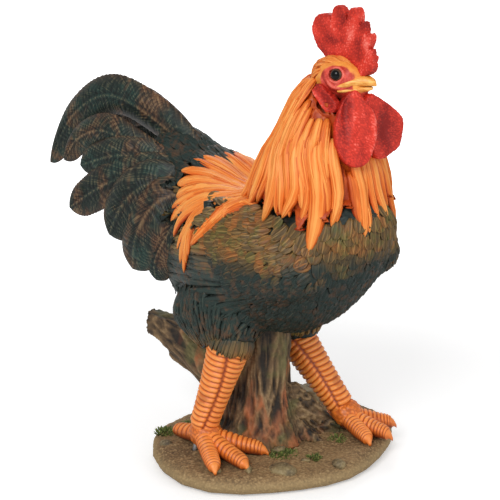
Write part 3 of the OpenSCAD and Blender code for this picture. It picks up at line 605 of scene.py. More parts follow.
# %% Red skin paint
def red_skin():
    """Deep red in the folds and a pale glint on the pebbles."""
    paint = Paint("red_flesh")
    ridge, mottle = paint.attribute("ridge"), paint.cloud(120)
    body = paint.mix("#8A150D", "#E03A28", (ridge * 1.7 + (mottle - 0.5) * 0.9 - 0.15).kept())
    glint = ((ridge - 0.66) * 2.6 + (mottle - 0.5) * 2.2).kept()
    colour = paint.mix(body, "#FF9080", glint * 0.65)
    return paint.finish(colour, 0.5, paint.bump(paint.pebbles(750), 0.25, 0.4 * MM), Specular_IOR_Level=0.3)


red = red_skin()

# %% The comb
COMB_START = Vector((41.1 * MM, 0, 345 * MM))
COMB_SIZE = (68 * MM, 56.5 * MM)
COMB_MIDDLE = (0.565, 0.5)
COMB_INSET = (0.9, 0.965)
COMB_OUTLINE = [
    (0.3, 0.21), (0.22, 0.27), (0.14, 0.34), (0.09, 0.43), (0.06, 0.53), (0.045, 0.62), (0.06, 0.71), (0.09, 0.77),
    (0.15, 0.82), (0.25, 0.845), (0.33, 0.82), (0.38, 0.72), (0.395, 0.86), (0.405, 0.92), (0.435, 0.965),
    (0.48, 0.985), (0.53, 0.97), (0.575, 0.93), (0.605, 0.88), (0.634, 0.7), (0.655, 0.88), (0.68, 0.94),
    (0.725, 0.97), (0.785, 0.975), (0.815, 0.945), (0.835, 0.86), (0.852, 0.7), (0.9, 0.8), (0.94, 0.78),
    (0.96, 0.7), (0.95, 0.57), (1.01, 0.64), (1.04, 0.605), (1.04, 0.54), (1.025, 0.47), (0.98, 0.39),
    (1.045, 0.42), (1.065, 0.365), (1.05, 0.325), (1.09, 0.32), (1.09, 0.27), (1.055, 0.225), (1.085, 0.21),
    (1.085, 0.16), (1.065, 0.105), (1.02, 0.06), (0.956, 0.035), (0.89, 0.025), (0.81, 0.05), (0.74, 0.1),
    (0.69, 0.17), (0.65, 0.22), (0.58, 0.22), (0.48, 0.2), (0.38, 0.19)]


def comb_carve(place, normal):
    x = (place.x - COMB_START.x) / COMB_SIZE[0]
    z = (place.z - COMB_START.z) / COMB_SIZE[1]
    fan = math.atan2(z - 0.1, x - 0.62)
    reach = math.hypot(z - 0.1, x - 0.62)
    fold = math.cos(fan * 13 + 0.6) * held((reach - 0.35) * 3) * (1.0 if x > 0.4 else 0.2)
    lump = noise.noise(place * 110)
    bead = pebble(place, 2.0 * MM)
    side_on = abs(normal.y)
    return ((0.45 * bead + (fold + 0.9 * lump) * side_on) * MM, 0.3 + 0.4 * bead + 0.25 * fold + 0.4 * lump)


comb = plate("comb_skin", [(x * COMB_SIZE[0], y * COMB_SIZE[1]) for x, y in COMB_OUTLINE], 7.5 * MM, 0.7 * MM, 6)
middle = [COMB_MIDDLE[i] * COMB_SIZE[i] for i in (0, 1)]
for corner in comb.data.vertices:
    x, z = ((corner.co[i] - middle[i]) * COMB_INSET[i] + middle[i] for i in (0, 1))
    corner.co = (COMB_START.x + x, -corner.co.z, COMB_START.z + z)
comb.data.update()
sculpt(comb, comb_carve)
deliver(comb, "red_flesh_paint", red, "comb")

# %% The wattles and the ear lobes
# A drop's outline: across and down, as shares of its width and length
NEAR_DROP = [
    (-0.12, 0), (-0.27, 0.1), (-0.36, 0.2), (-0.42, 0.31), (-0.48, 0.41), (-0.5, 0.52), (-0.5, 0.62),
    (-0.475, 0.7), (-0.42, 0.8), (-0.35, 0.88), (-0.25, 0.95), (-0.12, 0.99), (0, 1.0), (0.12, 0.99), (0.23, 0.95),
    (0.3, 0.88), (0.35, 0.8), (0.42, 0.71), (0.47, 0.6), (0.5, 0.5), (0.49, 0.4), (0.44, 0.3), (0.35, 0.2),
    (0.24, 0.1), (0.14, 0.02), (0.03, -0.04)]
FAR_DROP = [
    (-0.12, 0.02), (-0.25, 0.12), (-0.32, 0.3), (-0.34, 0.5), (-0.34, 0.7), (-0.34, 0.85), (-0.28, 0.96),
    (-0.12, 1.01), (0.03, 1.0), (0.18, 0.99), (0.3, 0.97), (0.39, 0.9), (0.46, 0.8), (0.53, 0.69), (0.55, 0.6),
    (0.5, 0.5), (0.41, 0.38), (0.31, 0.27), (0.21, 0.17), (0.1, 0.08), (0, 0)]
LOBE_DROP = [
    (-0.3, 0), (-0.5, 0.2), (-0.46, 0.5), (-0.4, 0.8), (-0.15, 1.0), (0.25, 1.02), (0.5, 0.85), (0.5, 0.6),
    (0.4, 0.35), (0.35, 0.1), (0.1, -0.04)]


def unit(*parts):
    return Vector(parts).normalized()


def drop(name, outline, root, down, outward, length, width, thick, carve, *replaced):
    """A hanging plate: its outline runs down from its root, faces outward and has its forward side at +."""
    outward = (outward - down * outward.dot(down)).normalized()
    across = down.cross(outward)
    if across.x < 0:
        across.negate()
    piece = plate(name, [(x * width, y * length) for x, y in outline], thick, 0.9 * MM, 10)

    def shaped(place, normal):
        x, y = place.x / width, place.y / length
        cut, mark = carve(x, y, normal.z)
        bead = pebble(place, 2.0 * MM)
        return (cut + 0.4 * bead) * MM, 0.25 + 0.45 * bead + 0.3 * mark
    sculpt(piece, shaped)
    for corner in piece.data.vertices:
        x, y, z = corner.co
        corner.co = root + across * x + down * y + outward * z
    piece.data.update()
    face_outward()
    deliver(piece, "red_flesh_paint", red, *replaced)
    return piece


def near_folds(x, y, out):
    """A groove by the throat, a broad soft ridge beside it and a rim on the forward edge."""
    groove = hill(x, -0.2 - 0.1 * y, 0.1) * hill(y, 0.25, 0.3)
    ridge = hill(x, 0.12, 0.2) * hill(y, 0.4, 0.4)
    rim = hill(x, 0.43 - 0.35 * max(0, y - 0.6), 0.07)
    wave = 0.5 * math.cos(x * 13 + y * 2)
    cut = -2.8 * groove + 1.8 * ridge + 1.0 * rim + 0.9 * wave
    return cut * out, 0.9 * rim + 0.5 * ridge - 1.3 * groove + 0.5 * wave


def far_folds(x, y, out):
    """A hollow in the middle of the far wattle, with a rim round it."""
    middle = hill(x, 0.1, 0.15) * hill(y, 0.6, 0.26)
    fold = math.cos(x * 15 - y * 3) * 0.5
    return (-3.4 * middle * max(out, 0) + 0.9 * fold * out), 0.6 * fold - 2.0 * middle * max(out, 0)


def lobe_folds(x, y, out):
    """A light rim along the back edge and a dark hollow beside it."""
    rim = hill(x, -0.34, 0.15)
    return (2.4 * rim - 1.2) * out, rim * 1.8 - 0.7


HEAD_X, HEAD_Z, HEAD_LEN, HEAD_W, HEAD_H = 50.7 * MM, 325.5 * MM, 50 * MM, 38 * MM, 40 * MM


def on_head(side, along, out, rise):
    """A place given as shares of the head's length, half width and height."""
    return Vector((HEAD_X + HEAD_LEN * along, side * HEAD_W * out, HEAD_Z + HEAD_H * rise))


near_wattle = drop("right_wattle_skin", NEAR_DROP, Vector((95.5, -7, 334)) * MM, unit(0.2, -0.14, -1),
                   unit(0.9, -0.55, 0.1), 58 * MM, 34 * MM, 8 * MM, near_folds, "right_wattle")
far_wattle = drop("left_wattle_skin", FAR_DROP, Vector((102, 4, 333)) * MM, unit(0.12, 0.3, -1),
                  unit(1, -0.1, 0.1), 53 * MM, 43 * MM, 8 * MM, far_folds, "left_wattle")
wattle_skins = [skin_of(near_wattle), skin_of(far_wattle)]
for side, word in ((-1, "right"), (1, "left")):
    lobe = drop(word + "_earlobe_skin", LOBE_DROP, on_head(side, 0.33, 0.47, 0.3), unit(1, side * 0.05, -0.9),
                unit(-0.15, side, 0.1), 27 * MM, 13 * MM, 6.5 * MM, lobe_folds, word + "_earlobe")
    wattle_skins.append(skin_of(lobe))

# %% [markdown]
# ## The face, the eyes and the beak
# The face is red skin in rings round a glossy eye. A band of small orange feathers runs from the beak over the brow to
# the nape. The head's own form is remeshed finely so that the lids and wrinkles can be pressed into it.

# %% The face
EYE_SPOTS = [on_head(side, 0.69, 0.39, 0.56) for side in (-1, 1)]
# The middle, half length and half height of the bare red skin round the eye
RED_X, RED_Z, RED_LONG, RED_HIGH = 84.5 * MM, 344 * MM, 13.5 * MM, 11 * MM


def bare(x, z):
    """Below 1 on the bare skin: an arch over the eye that is open downwards."""
    return math.hypot((x - RED_X) / RED_LONG, max(0.0, z - RED_Z) / RED_HIGH)


def face_carve(place, normal):
    eye = EYE_SPOTS[0] if place.y < 0 else EYE_SPOTS[1]
    offset = place - eye
    reach = math.hypot(offset.x, offset.z) / MM
    turn = math.atan2(offset.z, offset.x)
    side_on = min(1.0, abs(normal.y) * 1.5)
    lid = hill(reach, 5.7, 0.9)
    below = max(0.0, -math.sin(turn + 0.35))
    pouch = hill(reach, 9.4 + 0.8 * math.sin(turn * 3), 1.1) * below
    crease = hill(reach, 13.0 - 0.9 * math.sin(turn * 2 + 1), 1.0) * below
    lump = noise.noise(place * 190)
    bead = pebble(place, 1.8 * MM) * 0.25
    skin = bare(place.x, place.z) < 1 or place.z < 336 * MM
    crown = 0.45 * max(0.0, place.z / MM - 353)
    return (((1.2 * lid + 0.8 * pouch - 0.6 * crease + 0.5 * lump) * side_on + (bead if skin else 0) - crown) * MM,
            0.4 + 0.4 * lid + 0.3 * pouch - 0.5 * crease + 0.4 * lump + bead)


def face_paint():
    """Red skin round the eye and on the throat, orange feather over the brow and down the nape."""
    paint = Paint("face_skin")
    ridge = paint.attribute("ridge")
    mottle = paint.cloud(150)
    x, z = paint.coordinate("X"), paint.coordinate("Z")
    blur = (mottle - 0.5) * 0.25
    side = (x - RED_X) / RED_LONG
    top = paint.node("ShaderNodeMath", {"operation": "MAXIMUM"}, {0: (z - RED_Z) / RED_HIGH, 1: 0.0})
    arch = (side * side + top * top) ** 0.5 + blur
    red_share = 1 - arch.step(0.94, 1.04)
    throat = (1 - (z + blur * 0.006).step(0.3335, 0.3365)) * (x + blur * 0.01).step(0.068, 0.071)
    skin = paint.mix("#9A1E14", "#E04A38", (ridge * 1.4 + (mottle - 0.5) * 0.6 - 0.1).kept())
    skin = paint.mix(skin, "#F58A78", ((ridge - 0.6) * 2).kept() * 0.6)
    plume = paint.mix("#DB7226", "#F9AC4A", (mottle * 1.4 - 0.1).kept())
    colour = paint.mix(plume, skin, (red_share + throat).kept())
    return paint.finish(colour, 0.42, paint.bump(paint.pebbles(900), 0.2, 0.4 * MM))


face = smooth_form("face_skin", ["head"], 0.8 * MM, 6)
sculpt(face, face_carve)
face_skin = skin_of(face)
deliver(face, "red_flesh_paint", face_paint(), "head")

# %% Eyes with lids
def eye_paint():
    paint = Paint("eye_gloss")
    ring = paint.attribute("ring")
    iris = (ring.step(0.55, 0.62)) * (1 - ring.step(0.86, 0.93))
    mottle = paint.cloud(900, 2.0)
    brown = paint.mix("#2A1A10", "#6A4A30", mottle)
    return paint.finish(paint.mix("#040404", brown, iris * 0.9), 0.1, Specular_IOR_Level=0.25)


def eye_ball(word, spot, side):
    """A ball whose mark "ring" grows away from the way the eye looks."""
    ball = added(word + "_eye_ball", bpy.ops.mesh.primitive_uv_sphere_add, segments=40, ring_count=24,
                 radius=EYE_RADIUS, location=spot)
    bpy.ops.object.transform_apply(location=True)
    gaze = unit(0.35, side, 0.1)
    turned = [(corner.co - spot).normalized().angle(gaze) for corner in ball.data.vertices]
    mark(ball.data, "ring", [min(1.0, angle / RING_REACH) for angle in turned])
    bpy.ops.object.shade_smooth()
    return ball


# The ball's radius, and the angle from its gaze at which its mark has grown to 1
EYE_RADIUS, RING_REACH = 5.3 * MM, 1.35
eye_material = eye_paint()
for spot, side, word in zip(EYE_SPOTS, (-1, 1), ("right", "left")):
    deliver(eye_ball(word, spot, side), "eye_gloss", eye_material, word + "_eye")

# %% The beak
# Rows from the face to the tip, in millimetres: forward, height of the middle, half width, half height
UPPER_ROWS = [(86, 338.4, 16.4, 3.4), (91.5, 340.6, 15.6, 4.7), (97.5, 342.4, 11.4, 5), (104, 343.3, 6.5, 4.2),
              (109.6, 342.9, 3.1, 3), (112.6, 341.3, 0.7, 1)]
LOWER_ROWS = [(86, 335, 15.6, 2.6), (91.5, 335.8, 13.8, 2.9), (97.5, 336.8, 10, 2.8), (103, 337.5, 5.4, 2.2),
              (107.4, 338, 2.4, 1.5), (109.2, 338.6, 0.6, 0.5)]
HORN_RINGS, HORN_SIDES = 61, 48


def horn_form(name, rows):
    """A half of the beak: its cross-section is an oval that narrows to the tip."""
    def ring_at(u):
        x, z, wide, high = between(rows, u)

        def spot_at(a):
            dent = 0.22 * noise.noise(Vector((x * 0.16, math.cos(a) * 2.2, math.sin(a) * 2.2)))
            spot = Vector((x, (wide + dent) * math.cos(a), z + (high + dent) * math.sin(a))) * MM
            return spot, 0.5 + 0.5 * math.sin(a)
        return spot_at
    return swept(name, HORN_RINGS, HORN_SIDES, ring_at)


def beak_paint(name, low, high):
    """Horn that is darker along the mouth and streaked towards the tip."""
    paint = Paint(name)
    ridge = paint.attribute("ridge")
    streak = paint.cloud(260, stretch=(0.35, 1, 2.2))
    mouth = ((ridge - low) * (1 / (high - low))).kept()
    horn = paint.mix("#E0892C", "#FBC266", streak.step(0.3, 0.7))
    horn = paint.mix("#9A4A16", horn, (mouth * 0.9 + 0.1).kept())
    return paint.finish(horn, 0.38, paint.bump(streak, 0.25, 0.5 * MM))


deliver(horn_form("upper_beak_horn", UPPER_ROWS), "beak_paint", beak_paint("upper_horn", 0.0, 0.22), "upper_beak")
deliver(horn_form("lower_beak_horn", LOWER_ROWS), "beak_paint", beak_paint("lower_horn", 1.0, 0.85), "lower_beak")

# %% Small feathers of the crown
rng = random.Random(11)


def scatter(form, pitch, seed, keep, tries=26000):
    """Points on a form at least a pitch apart, where keep says so."""
    mesh = form.data
    areas = np.array([p.area for p in mesh.polygons])
    centres = np.array([p.center for p in mesh.polygons])
    picks = np.random.RandomState(seed).choice(len(areas), size=tries, p=areas / areas.sum())
    cells, chosen = {}, []
    for index in picks:
        spot = centres[index]
        if not keep(spot):
            continue
        cell = tuple((spot // pitch).astype(int))
        near = [p for a in (-1, 0, 1) for b in (-1, 0, 1) for c in (-1, 0, 1)
                for p in cells.get((cell[0] + a, cell[1] + b, cell[2] + c), ())]
        if all(np.sum((spot - p) ** 2) > pitch * pitch for p in near):
            cells.setdefault(cell, []).append(spot)
            chosen.append(spot)
    return chosen


def crown_heading(at):
    """Back over the brow, then down the nape."""
    fall = held((74 * MM - at.x) / (20 * MM))
    return Vector((-1 + 0.55 * fall, 0, 0.12 - 1.1 * fall))


def on_crown(spot):
    """Whether a spot lies on the brow, outside the bare skin, or on the nape."""
    return bare(spot[0], spot[2]) > 1.15 and spot[2] > 346 * MM and spot[0] < 94 * MM or (
        spot[0] < 66 * MM and spot[2] > 326 * MM)


crown = []
for spot in scatter(face, 3.4 * MM, 3, on_crown):
    line, normals = march(spot, crown_heading, rng.uniform(13, 20) * MM, -0.5 * MM, 0.7 * MM, rng.uniform(-0.3, 0.3),
                          face_skin)
    crown.append((strand, line, normals, rng.uniform(1.5, 2.2) * MM, rng.uniform(1.1, 1.5) * MM, rng.random()))
deliver(lay("crown_feathers", crown), "orange_plumage_paint", orange)

# %% [markdown]
# ## The hackle
# On the real bird the hackle is a cape of long pointed feathers that fall from the head over the shoulders. Here
# the locks lie in layers on the part's own cape: the lowest ones end in its zigzag hem, and each higher layer
# starts nearer the head. Under them is a fibrous form in the same orange, so that no gap shows a dark hole.

# %% The form under the locks
def fibres(place, along, fine):
    """Ridges that run along a direction: 0 in the cracks and 1 on the crests."""
    run = place.dot(along)
    flat = place - along * run
    spot = flat * fine + along * (run * fine * 0.13)
    first = 1 - abs(noise.noise(spot)) * 2.4
    second = 1 - abs(noise.noise(spot * 2.3 + Vector((7, 3, 1)))) * 2.4
    return held(0.62 * first + 0.38 * second)


# Where the wattles can press on the form, and how near and how far they do
THROAT_X, THROAT_Z, PRESS_REACH, PRESS_DEPTH = 70 * MM, 262 * MM, 9 * MM, 6
# Below this height in millimetres the form sinks, within so many millimetres, by so many
HEM_TOP, HEM_FADE, HEM_SINK = 252, 12, 4.5


def under_carve(place, normal):
    """Fine upright fibres. The form gives way under the wattles and sinks at the hem, where the locks part."""
    crest = fibres(place, Vector((0, 0, 1)), 260)
    near = place.z > THROAT_Z and place.x > THROAT_X
    gap = min(skin.find_nearest(place)[3] for skin in wattle_skins[:2]) if near else 1
    press = max(0.0, 1 - gap / PRESS_REACH) * PRESS_DEPTH
    hem = held((HEM_TOP - place.z / MM) / HEM_FADE) * HEM_SINK
    return (crest * 1.2 - 3.4 - press - hem) * MM, crest * 0.5


orange_under = smooth_form("orange_under_plumage", ["hackle"], 2 * MM, 5)
sculpt(orange_under, under_carve)
deliver(orange_under, "orange_plumage_paint", orange, "hackle")

# %% The cape's own curves
BELLY_Z, REAR_X = 118.7 * MM, -100.9 * MM
BODY_LEN, BODY_W, BODY_H = 220 * MM, 134 * MM, 141 * MM
CAPE_HEIGHT, CAPE_HALF = 102 * MM, 58 * MM
CAPE_X, CAPE_Z = REAR_X + BODY_LEN * 0.723, BELLY_Z + BODY_H * 0.846
# Rows downward: forward, height, half length and half width as shares, and forward tilt in degrees
CAPE_ROWS = [
    (0.05, 1, 0.28, 0.3, 14), (0.05, 0.86, 0.47, 0.47, 4), (0.06, 0.71, 0.6, 0.6, 0), (0.05, 0.57, 0.69, 0.7, 2),
    (0, 0.42, 0.79, 0.8, 4), (-0.04, 0.22, 0.91, 0.92, 6), (-0.07, 0, 0.99, 1, 7)]
HEM_DROP, HEAD_CLIMB = 1.1, 0.6


def cape_spot(t, turn):
    """A point of the cape: t is 0 at the head and 1 at the hem, turn is 0 straight ahead."""
    forward, rise, long, wide, tilt = between(CAPE_ROWS, t)
    rise -= HEM_DROP * max(t - 1, 0) + HEAD_CLIMB * min(t, 0)
    tilt = math.radians(tilt)
    x, y = CAPE_HALF * long * math.cos(turn), CAPE_HALF * wide * math.sin(turn)
    return (CAPE_X + CAPE_HALF * forward + x * math.cos(tilt), y, CAPE_Z + CAPE_HEIGHT * rise - x * math.sin(tilt))


def cape_line(start, end, turn, drift, hook, clear):
    """A line down the cape. It drifts back half way, comes forward again and hooks back at its tip."""
    line = []
    for u in np.linspace(0, 1, 16):
        t = start + (end - start) * u
        sway = drift * math.sin(math.pi * held(t)) - 9 * hill(t, 0.8, 0.16)
        sway += hook * max(0.0, u - 0.72) / 0.28
        line.append(cape_spot(t, turn + math.radians(sway) * math.sin(turn)))
    return hug(line, -2.6 * MM, clear, 13 * MM)


# %% Hackle locks
# Rows: where a layer starts, where it ends, locks in it, half width, depth and clearance in millimetres
CAPE_LAYERS = [
    (0.42, 0.99, 44, 5.2, 3.8, -1.0), (0.28, 0.84, 40, 4.6, 3.5, -0.8), (0.17, 0.73, 38, 4.1, 3.2, -0.5),
    (0.08, 0.6, 34, 3.6, 2.8, -0.2), (0.02, 0.46, 32, 3.1, 2.3, 0), (-0.03, 0.3, 30, 2.6, 1.9, 0.2)]
HEM_TURN = 8
# How far each hem lock goes, from straight ahead over the left side and round to the right
HEM_ENDS = [1.0, 1.07, 0.99, 1.08, 1.02, 1.1, 1.0, 1.06, 1.0, 1.05, 1.0, 1.1, 0.99, 1.08, 1.0, 1.2, 1.0, 1.07]
WATTLE_CLEAR, ROOT_CLEAR, LOWER_STARTS = 1.2 * MM, 4.5 * MM, (0.15, 0.28, 0.4, 0.5, 0.6, 0.7)


def meets_wattle(line):
    """Whether a lock would start close to a wattle or an ear lobe, or run through one."""
    if any(skin.find_nearest(Vector(line[0]), ROOT_CLEAR)[0] for skin in wattle_skins):
        return True
    return any(skin.find_nearest(Vector(spot), WATTLE_CLEAR)[0] for spot in line[::2] for skin in wattle_skins)


def varied(line, normals, width, depth):
    """A lock's course, its width, depth and tone drawn at random."""
    return (lock, line, normals, width * rng.uniform(0.8, 1.15) * MM, depth * rng.uniform(0.85, 1.2) * MM,
            rng.random())


def hackle_courses():
    courses = []
    for k, end in enumerate(HEM_ENDS):
        turn = 360 / len(HEM_ENDS) * k + HEM_TURN
        turn = math.radians(turn + rng.uniform(-2, 2))
        line, normals = cape_line(0.45, end, turn, 13, 5 if end > 1.1 else 10, 0.2 * MM)
        width = 7.6 if end > 1.1 else rng.uniform(5.6, 6.6)
        courses.append((lock, line, normals, width * MM, 4.2 * MM, rng.uniform(0.5, 1)))
    for layer, (start, end, count, width, depth, clear) in enumerate(CAPE_LAYERS):
        for k in range(count):
            turn = 360 / count * (k + 0.5 * (layer % 2) + rng.uniform(-0.22, 0.22))
            if start < 0.05 and math.cos(math.radians(turn)) > 0.35:
                continue
            drift = 14 + 8 * math.cos(math.radians(turn)) + rng.uniform(-4, 4)
            first, last = start + rng.uniform(-0.04, 0.04), end + rng.uniform(-0.07, 0.07)
            hook = rng.uniform(-4, 10)
            for begin in [first] + [t for t in LOWER_STARTS if first < t < last - 0.25]:
                line, normals = cape_line(begin, last, math.radians(turn), drift, hook, clear * MM)
                if not meets_wattle(line):
                    break
            else:
                continue
            courses.append(varied(line, normals, width, depth))
    return courses


hackle_piece = lay("hackle_locks", hackle_courses())
deliver(hackle_piece, "orange_plumage_paint", orange)

# %% [markdown]
# ## The saddle
# The saddle feathers leave the back behind the hackle, part along the spine and fall over the wings and the root
# of the tail. Each lock runs back from its root first and then turns down to its tip, and shorter layers cover the
# roots of the longer ones.

# %% Saddle locks
# Tips and roots from the flank to the spine, as shares along, out and up the body
SADDLE_TIPS = [
    (0.45, 0.93, 0.76), (0.4, 0.97, 0.64), (0.32, 0.96, 0.46), (0.27, 0.93, 0.35), (0.2, 0.87, 0.48),
    (0.12, 0.76, 0.62), (0.09, 0.63, 0.73), (0.08, 0.5, 0.84), (0.1, 0.32, 0.93), (0.13, 0.16, 0.97),
    (0.15, 0.04, 0.97)]
SADDLE_ROOTS = [(0.6, 0.66, 0.86), (0.49, 0.04, 0.9)]
# Rows: how much of its way a layer's locks go, locks in it, half width, depth and clearance in millimetres
SADDLE_LAYERS = [(1.0, 21, 5.8, 3.8, 1.4), (0.87, 21, 4.8, 3.4, 1.8), (0.74, 20, 4.1, 3, 2.1), (0.6, 18, 3.6, 2.6, 2.3),
                 (0.45, 16, 3.1, 2.2, 2.5)]


def on_body(side, share):
    """A place given as shares of the body's length, half width and height."""
    return np.array((REAR_X + BODY_LEN * share[0], side * BODY_W / 2 * share[1], BELLY_Z + BODY_H * share[2]))


DENT_DEPTH, DENT_X, DENT_LONG, DENT_WIDE, DENT_FOOT = 9 * MM, -10 * MM, 30 * MM, 42 * MM, 225 * MM


def spine_dent(x, y, z):
    """How far the back lies lower than the part's, behind the neck."""
    return DENT_DEPTH * hill(x, DENT_X, DENT_LONG) * hill(y, 0, DENT_WIDE) if z > DENT_FOOT else 0.0


def saddle_line(side, u, reach, clear):
    """Back from under the hackle first, then down to the tip."""
    root = on_body(side, np.array(SADDLE_ROOTS[0]) * (1 - u) + np.array(SADDLE_ROOTS[1]) * u)
    tip = on_body(side, between(SADDLE_TIPS, u))
    corner = root + (tip - root) * np.array((0.78, 0.85, 0.22)) + np.array((0, 0, 5 * MM * (1 - u) ** 2))
    shares = np.linspace(0, reach, 14)[:, None]
    line = root * (1 - shares) ** 2 + corner * 2 * shares * (1 - shares) + tip * shares ** 2
    line, normals = hug(line, -2.4 * MM, clear - 2.2 * MM * u, 7 * MM)
    line[:, 2] -= [spine_dent(*spot) for spot in line]
    return line, normals


def saddle_courses():
    courses = []
    for reach, count, width, depth, clear in SADDLE_LAYERS:
        for side in (-1, 1):
            for k in range(count):
                u = max(0.0, (k + rng.uniform(-0.25, 0.25)) / (count - 1)) ** 1.4
                line, normals = saddle_line(side, u, reach * rng.uniform(0.92, 1.0), clear * MM)
                courses.append(varied(line, normals, width, depth))
    return courses


saddle_piece = lay("saddle_locks", saddle_courses())
deliver(saddle_piece, "orange_plumage_paint", orange)

# %% [markdown]
# ## Scales and strands of the body
# Breast and shoulder are covered by small rounded feathers that lie like roof tiles, the belly, the thighs and
# the back of the wings by narrow strands. Points are scattered over the skin no closer than a feather's pitch, and
# each feather starts a little under the surface and ends a little proud of it, over the next one's root.

# %% Which way the body's feathers lie
BODY_NODES = [name for name in PLUMED if name not in ("hackle", "saddle")]
lock_skins = [skin_of(hackle_piece), skin_of(saddle_piece)]
# A feather is left out where its tip would lie under a lock; where the cape hides its own top; behind the saddle
TIP_SHIFT, COVER_REACH = Vector((-2, 0, -8)) * MM, 4.5 * MM
CAPE_TOP, SADDLE_REAR, SADDLE_FOOT = 236 * MM, -25 * MM, 215 * MM


def owner(spot, normal):
    """The solid that a point of the plumage belongs to, or nothing where locks cover it."""
    spot, normal = Vector(spot), Vector(normal)
    tip = spot + TIP_SHIFT - normal * COVER_REACH / 2
    if any(skin.ray_cast(tip, normal, 1.5 * COVER_REACH)[0] for skin in lock_skins):
        return None
    name = min(PLUMED, key=lambda name: node_skins[name].find_nearest(spot)[3])
    if name == "hackle" and spot.z > CAPE_TOP:
        return None
    if name == "saddle" and spot.x < SADDLE_REAR and spot.z > SADDLE_FOOT:
        return "tail_root"
    if name in ("hackle", "saddle"):
        return min(BODY_NODES, key=lambda name: node_skins[name].find_nearest(spot)[3])
    return name


def body_heading(at):
    """Down the breast, then back along the belly and the flanks."""
    front = held((at.x - 20 * MM) / (80 * MM))
    return Vector((-1 + 0.75 * front, 0, -0.35 - 0.65 * front))


def wing_heading(at):
    """Back and down at the shoulder, level along the flight feathers."""
    front = held(at.x / (50 * MM))
    return Vector((-1, 0, -0.12 - 0.5 * front))


def tail_heading(at):
    """Back and a little up, into the fan."""
    return Vector((-1, 0, 0.25))


def thigh_heading(side):
    """Down to the cuff round the shank, with a slow swirl."""
    cuff = Vector((0.14 * MM, -51.2 * MM, 100 * MM)) if side < 0 else Vector((-12 * MM, 36 * MM, 85 * MM))

    def heading(at):
        way = cuff - at
        swirl = 0.35 * math.sin(at.x * 70 + at.z * 40)
        return Vector((way.x * 0.8 - (0.4 + swirl) * 20 * MM, way.y * 0.5, -abs(way.z) * 0.6 - 16 * MM))
    return heading


# %% Feathers of each region
# Rows: length, half width and depth in millimetres
SIZES = {"scale": (15, 5.8, 1.9), "strand": (24, 2.7, 1.5), "flight": (38, 3.8, 1.2), "covert": (25, 5.6, 1.8)}
SHAPES = {"scale": scale, "strand": strand, "flight": strand, "covert": scale}
PITCHES = {"torso": 5.1, "right_wing": 5.0, "left_wing": 5.0, "right_thigh": 4.3, "left_thigh": 4.3, "tail_root": 6}
HEADINGS = {"torso": body_heading, "right_wing": wing_heading, "left_wing": wing_heading, "tail_root": tail_heading,
            "right_thigh": thigh_heading(-1), "left_thigh": thigh_heading(1)}
# Scales cover the breast in front of BREAST_X or above BREAST_Z, and the wing above a slanting line
BREAST_X, BREAST_Z, WING_SLANT, WING_LINE = 30 * MM, 200 * MM, 0.8, 205 * MM


def kind_of(name, spot):
    """Which feather grows at a spot."""
    if name == "torso":
        return "scale" if spot[0] > BREAST_X or spot[2] > BREAST_Z else "strand"
    if name.endswith("wing"):
        return "scale" if spot[0] * WING_SLANT + spot[2] > WING_LINE else "flight"
    return "covert" if name == "tail_root" else "strand"


def body_courses(name, spots):
    """One feather from each spot, its size and bend drawn at random."""
    courses = []
    for spot in spots:
        kind = kind_of(name, spot)
        length, width, depth = (size * rng.uniform(0.85, 1.15) * MM for size in SIZES[kind])
        lift = (0.3 if kind == "flight" else 1.0) * MM
        line, normals = march(spot, HEADINGS[name], length, -1.0 * MM, lift, rng.uniform(-0.3, 0.3))
        courses.append((SHAPES[kind], line, normals, width, depth, rng.random()))
    return courses


def cuff_courses(knuckle, way):
    """Strands that hang from a thigh over the top of its shank."""
    way = way.normalized()
    side = way.cross(Vector((1, 0, 0))).normalized()
    courses = []
    for k in range(CUFF_STRANDS):
        turn = 2 * math.pi * (k + rng.uniform(-0.3, 0.3)) / CUFF_STRANDS
        out = side * math.cos(turn) + way.cross(side) * math.sin(turn)
        end = rng.uniform(0.9, 0.965)
        line = [knuckle + way * (SHANK_LEN * u) + out * reach * MM
                for u, reach in ((1.2, 14), (1.12, 17.5), (1.04, 19.4), (end + 0.03, 19.7), (end, 18.7))]
        courses.append((strand, line, [out] * len(line), rng.uniform(1.7, 2.5) * MM, 1.3 * MM, rng.random()))
    return courses


CUFF_STRANDS = 60
KNUCKLES = {"right": Vector((-17.92, -67.85, 35.5)) * MM, "left": Vector((38.08, 50.15, 35.5)) * MM}
LEG_WAYS = {"right": Vector((0.2309, 0.2126, 1)), "left": Vector((-0.8098, -0.2126, 1))}
SHANK_LEN = 82 * MM


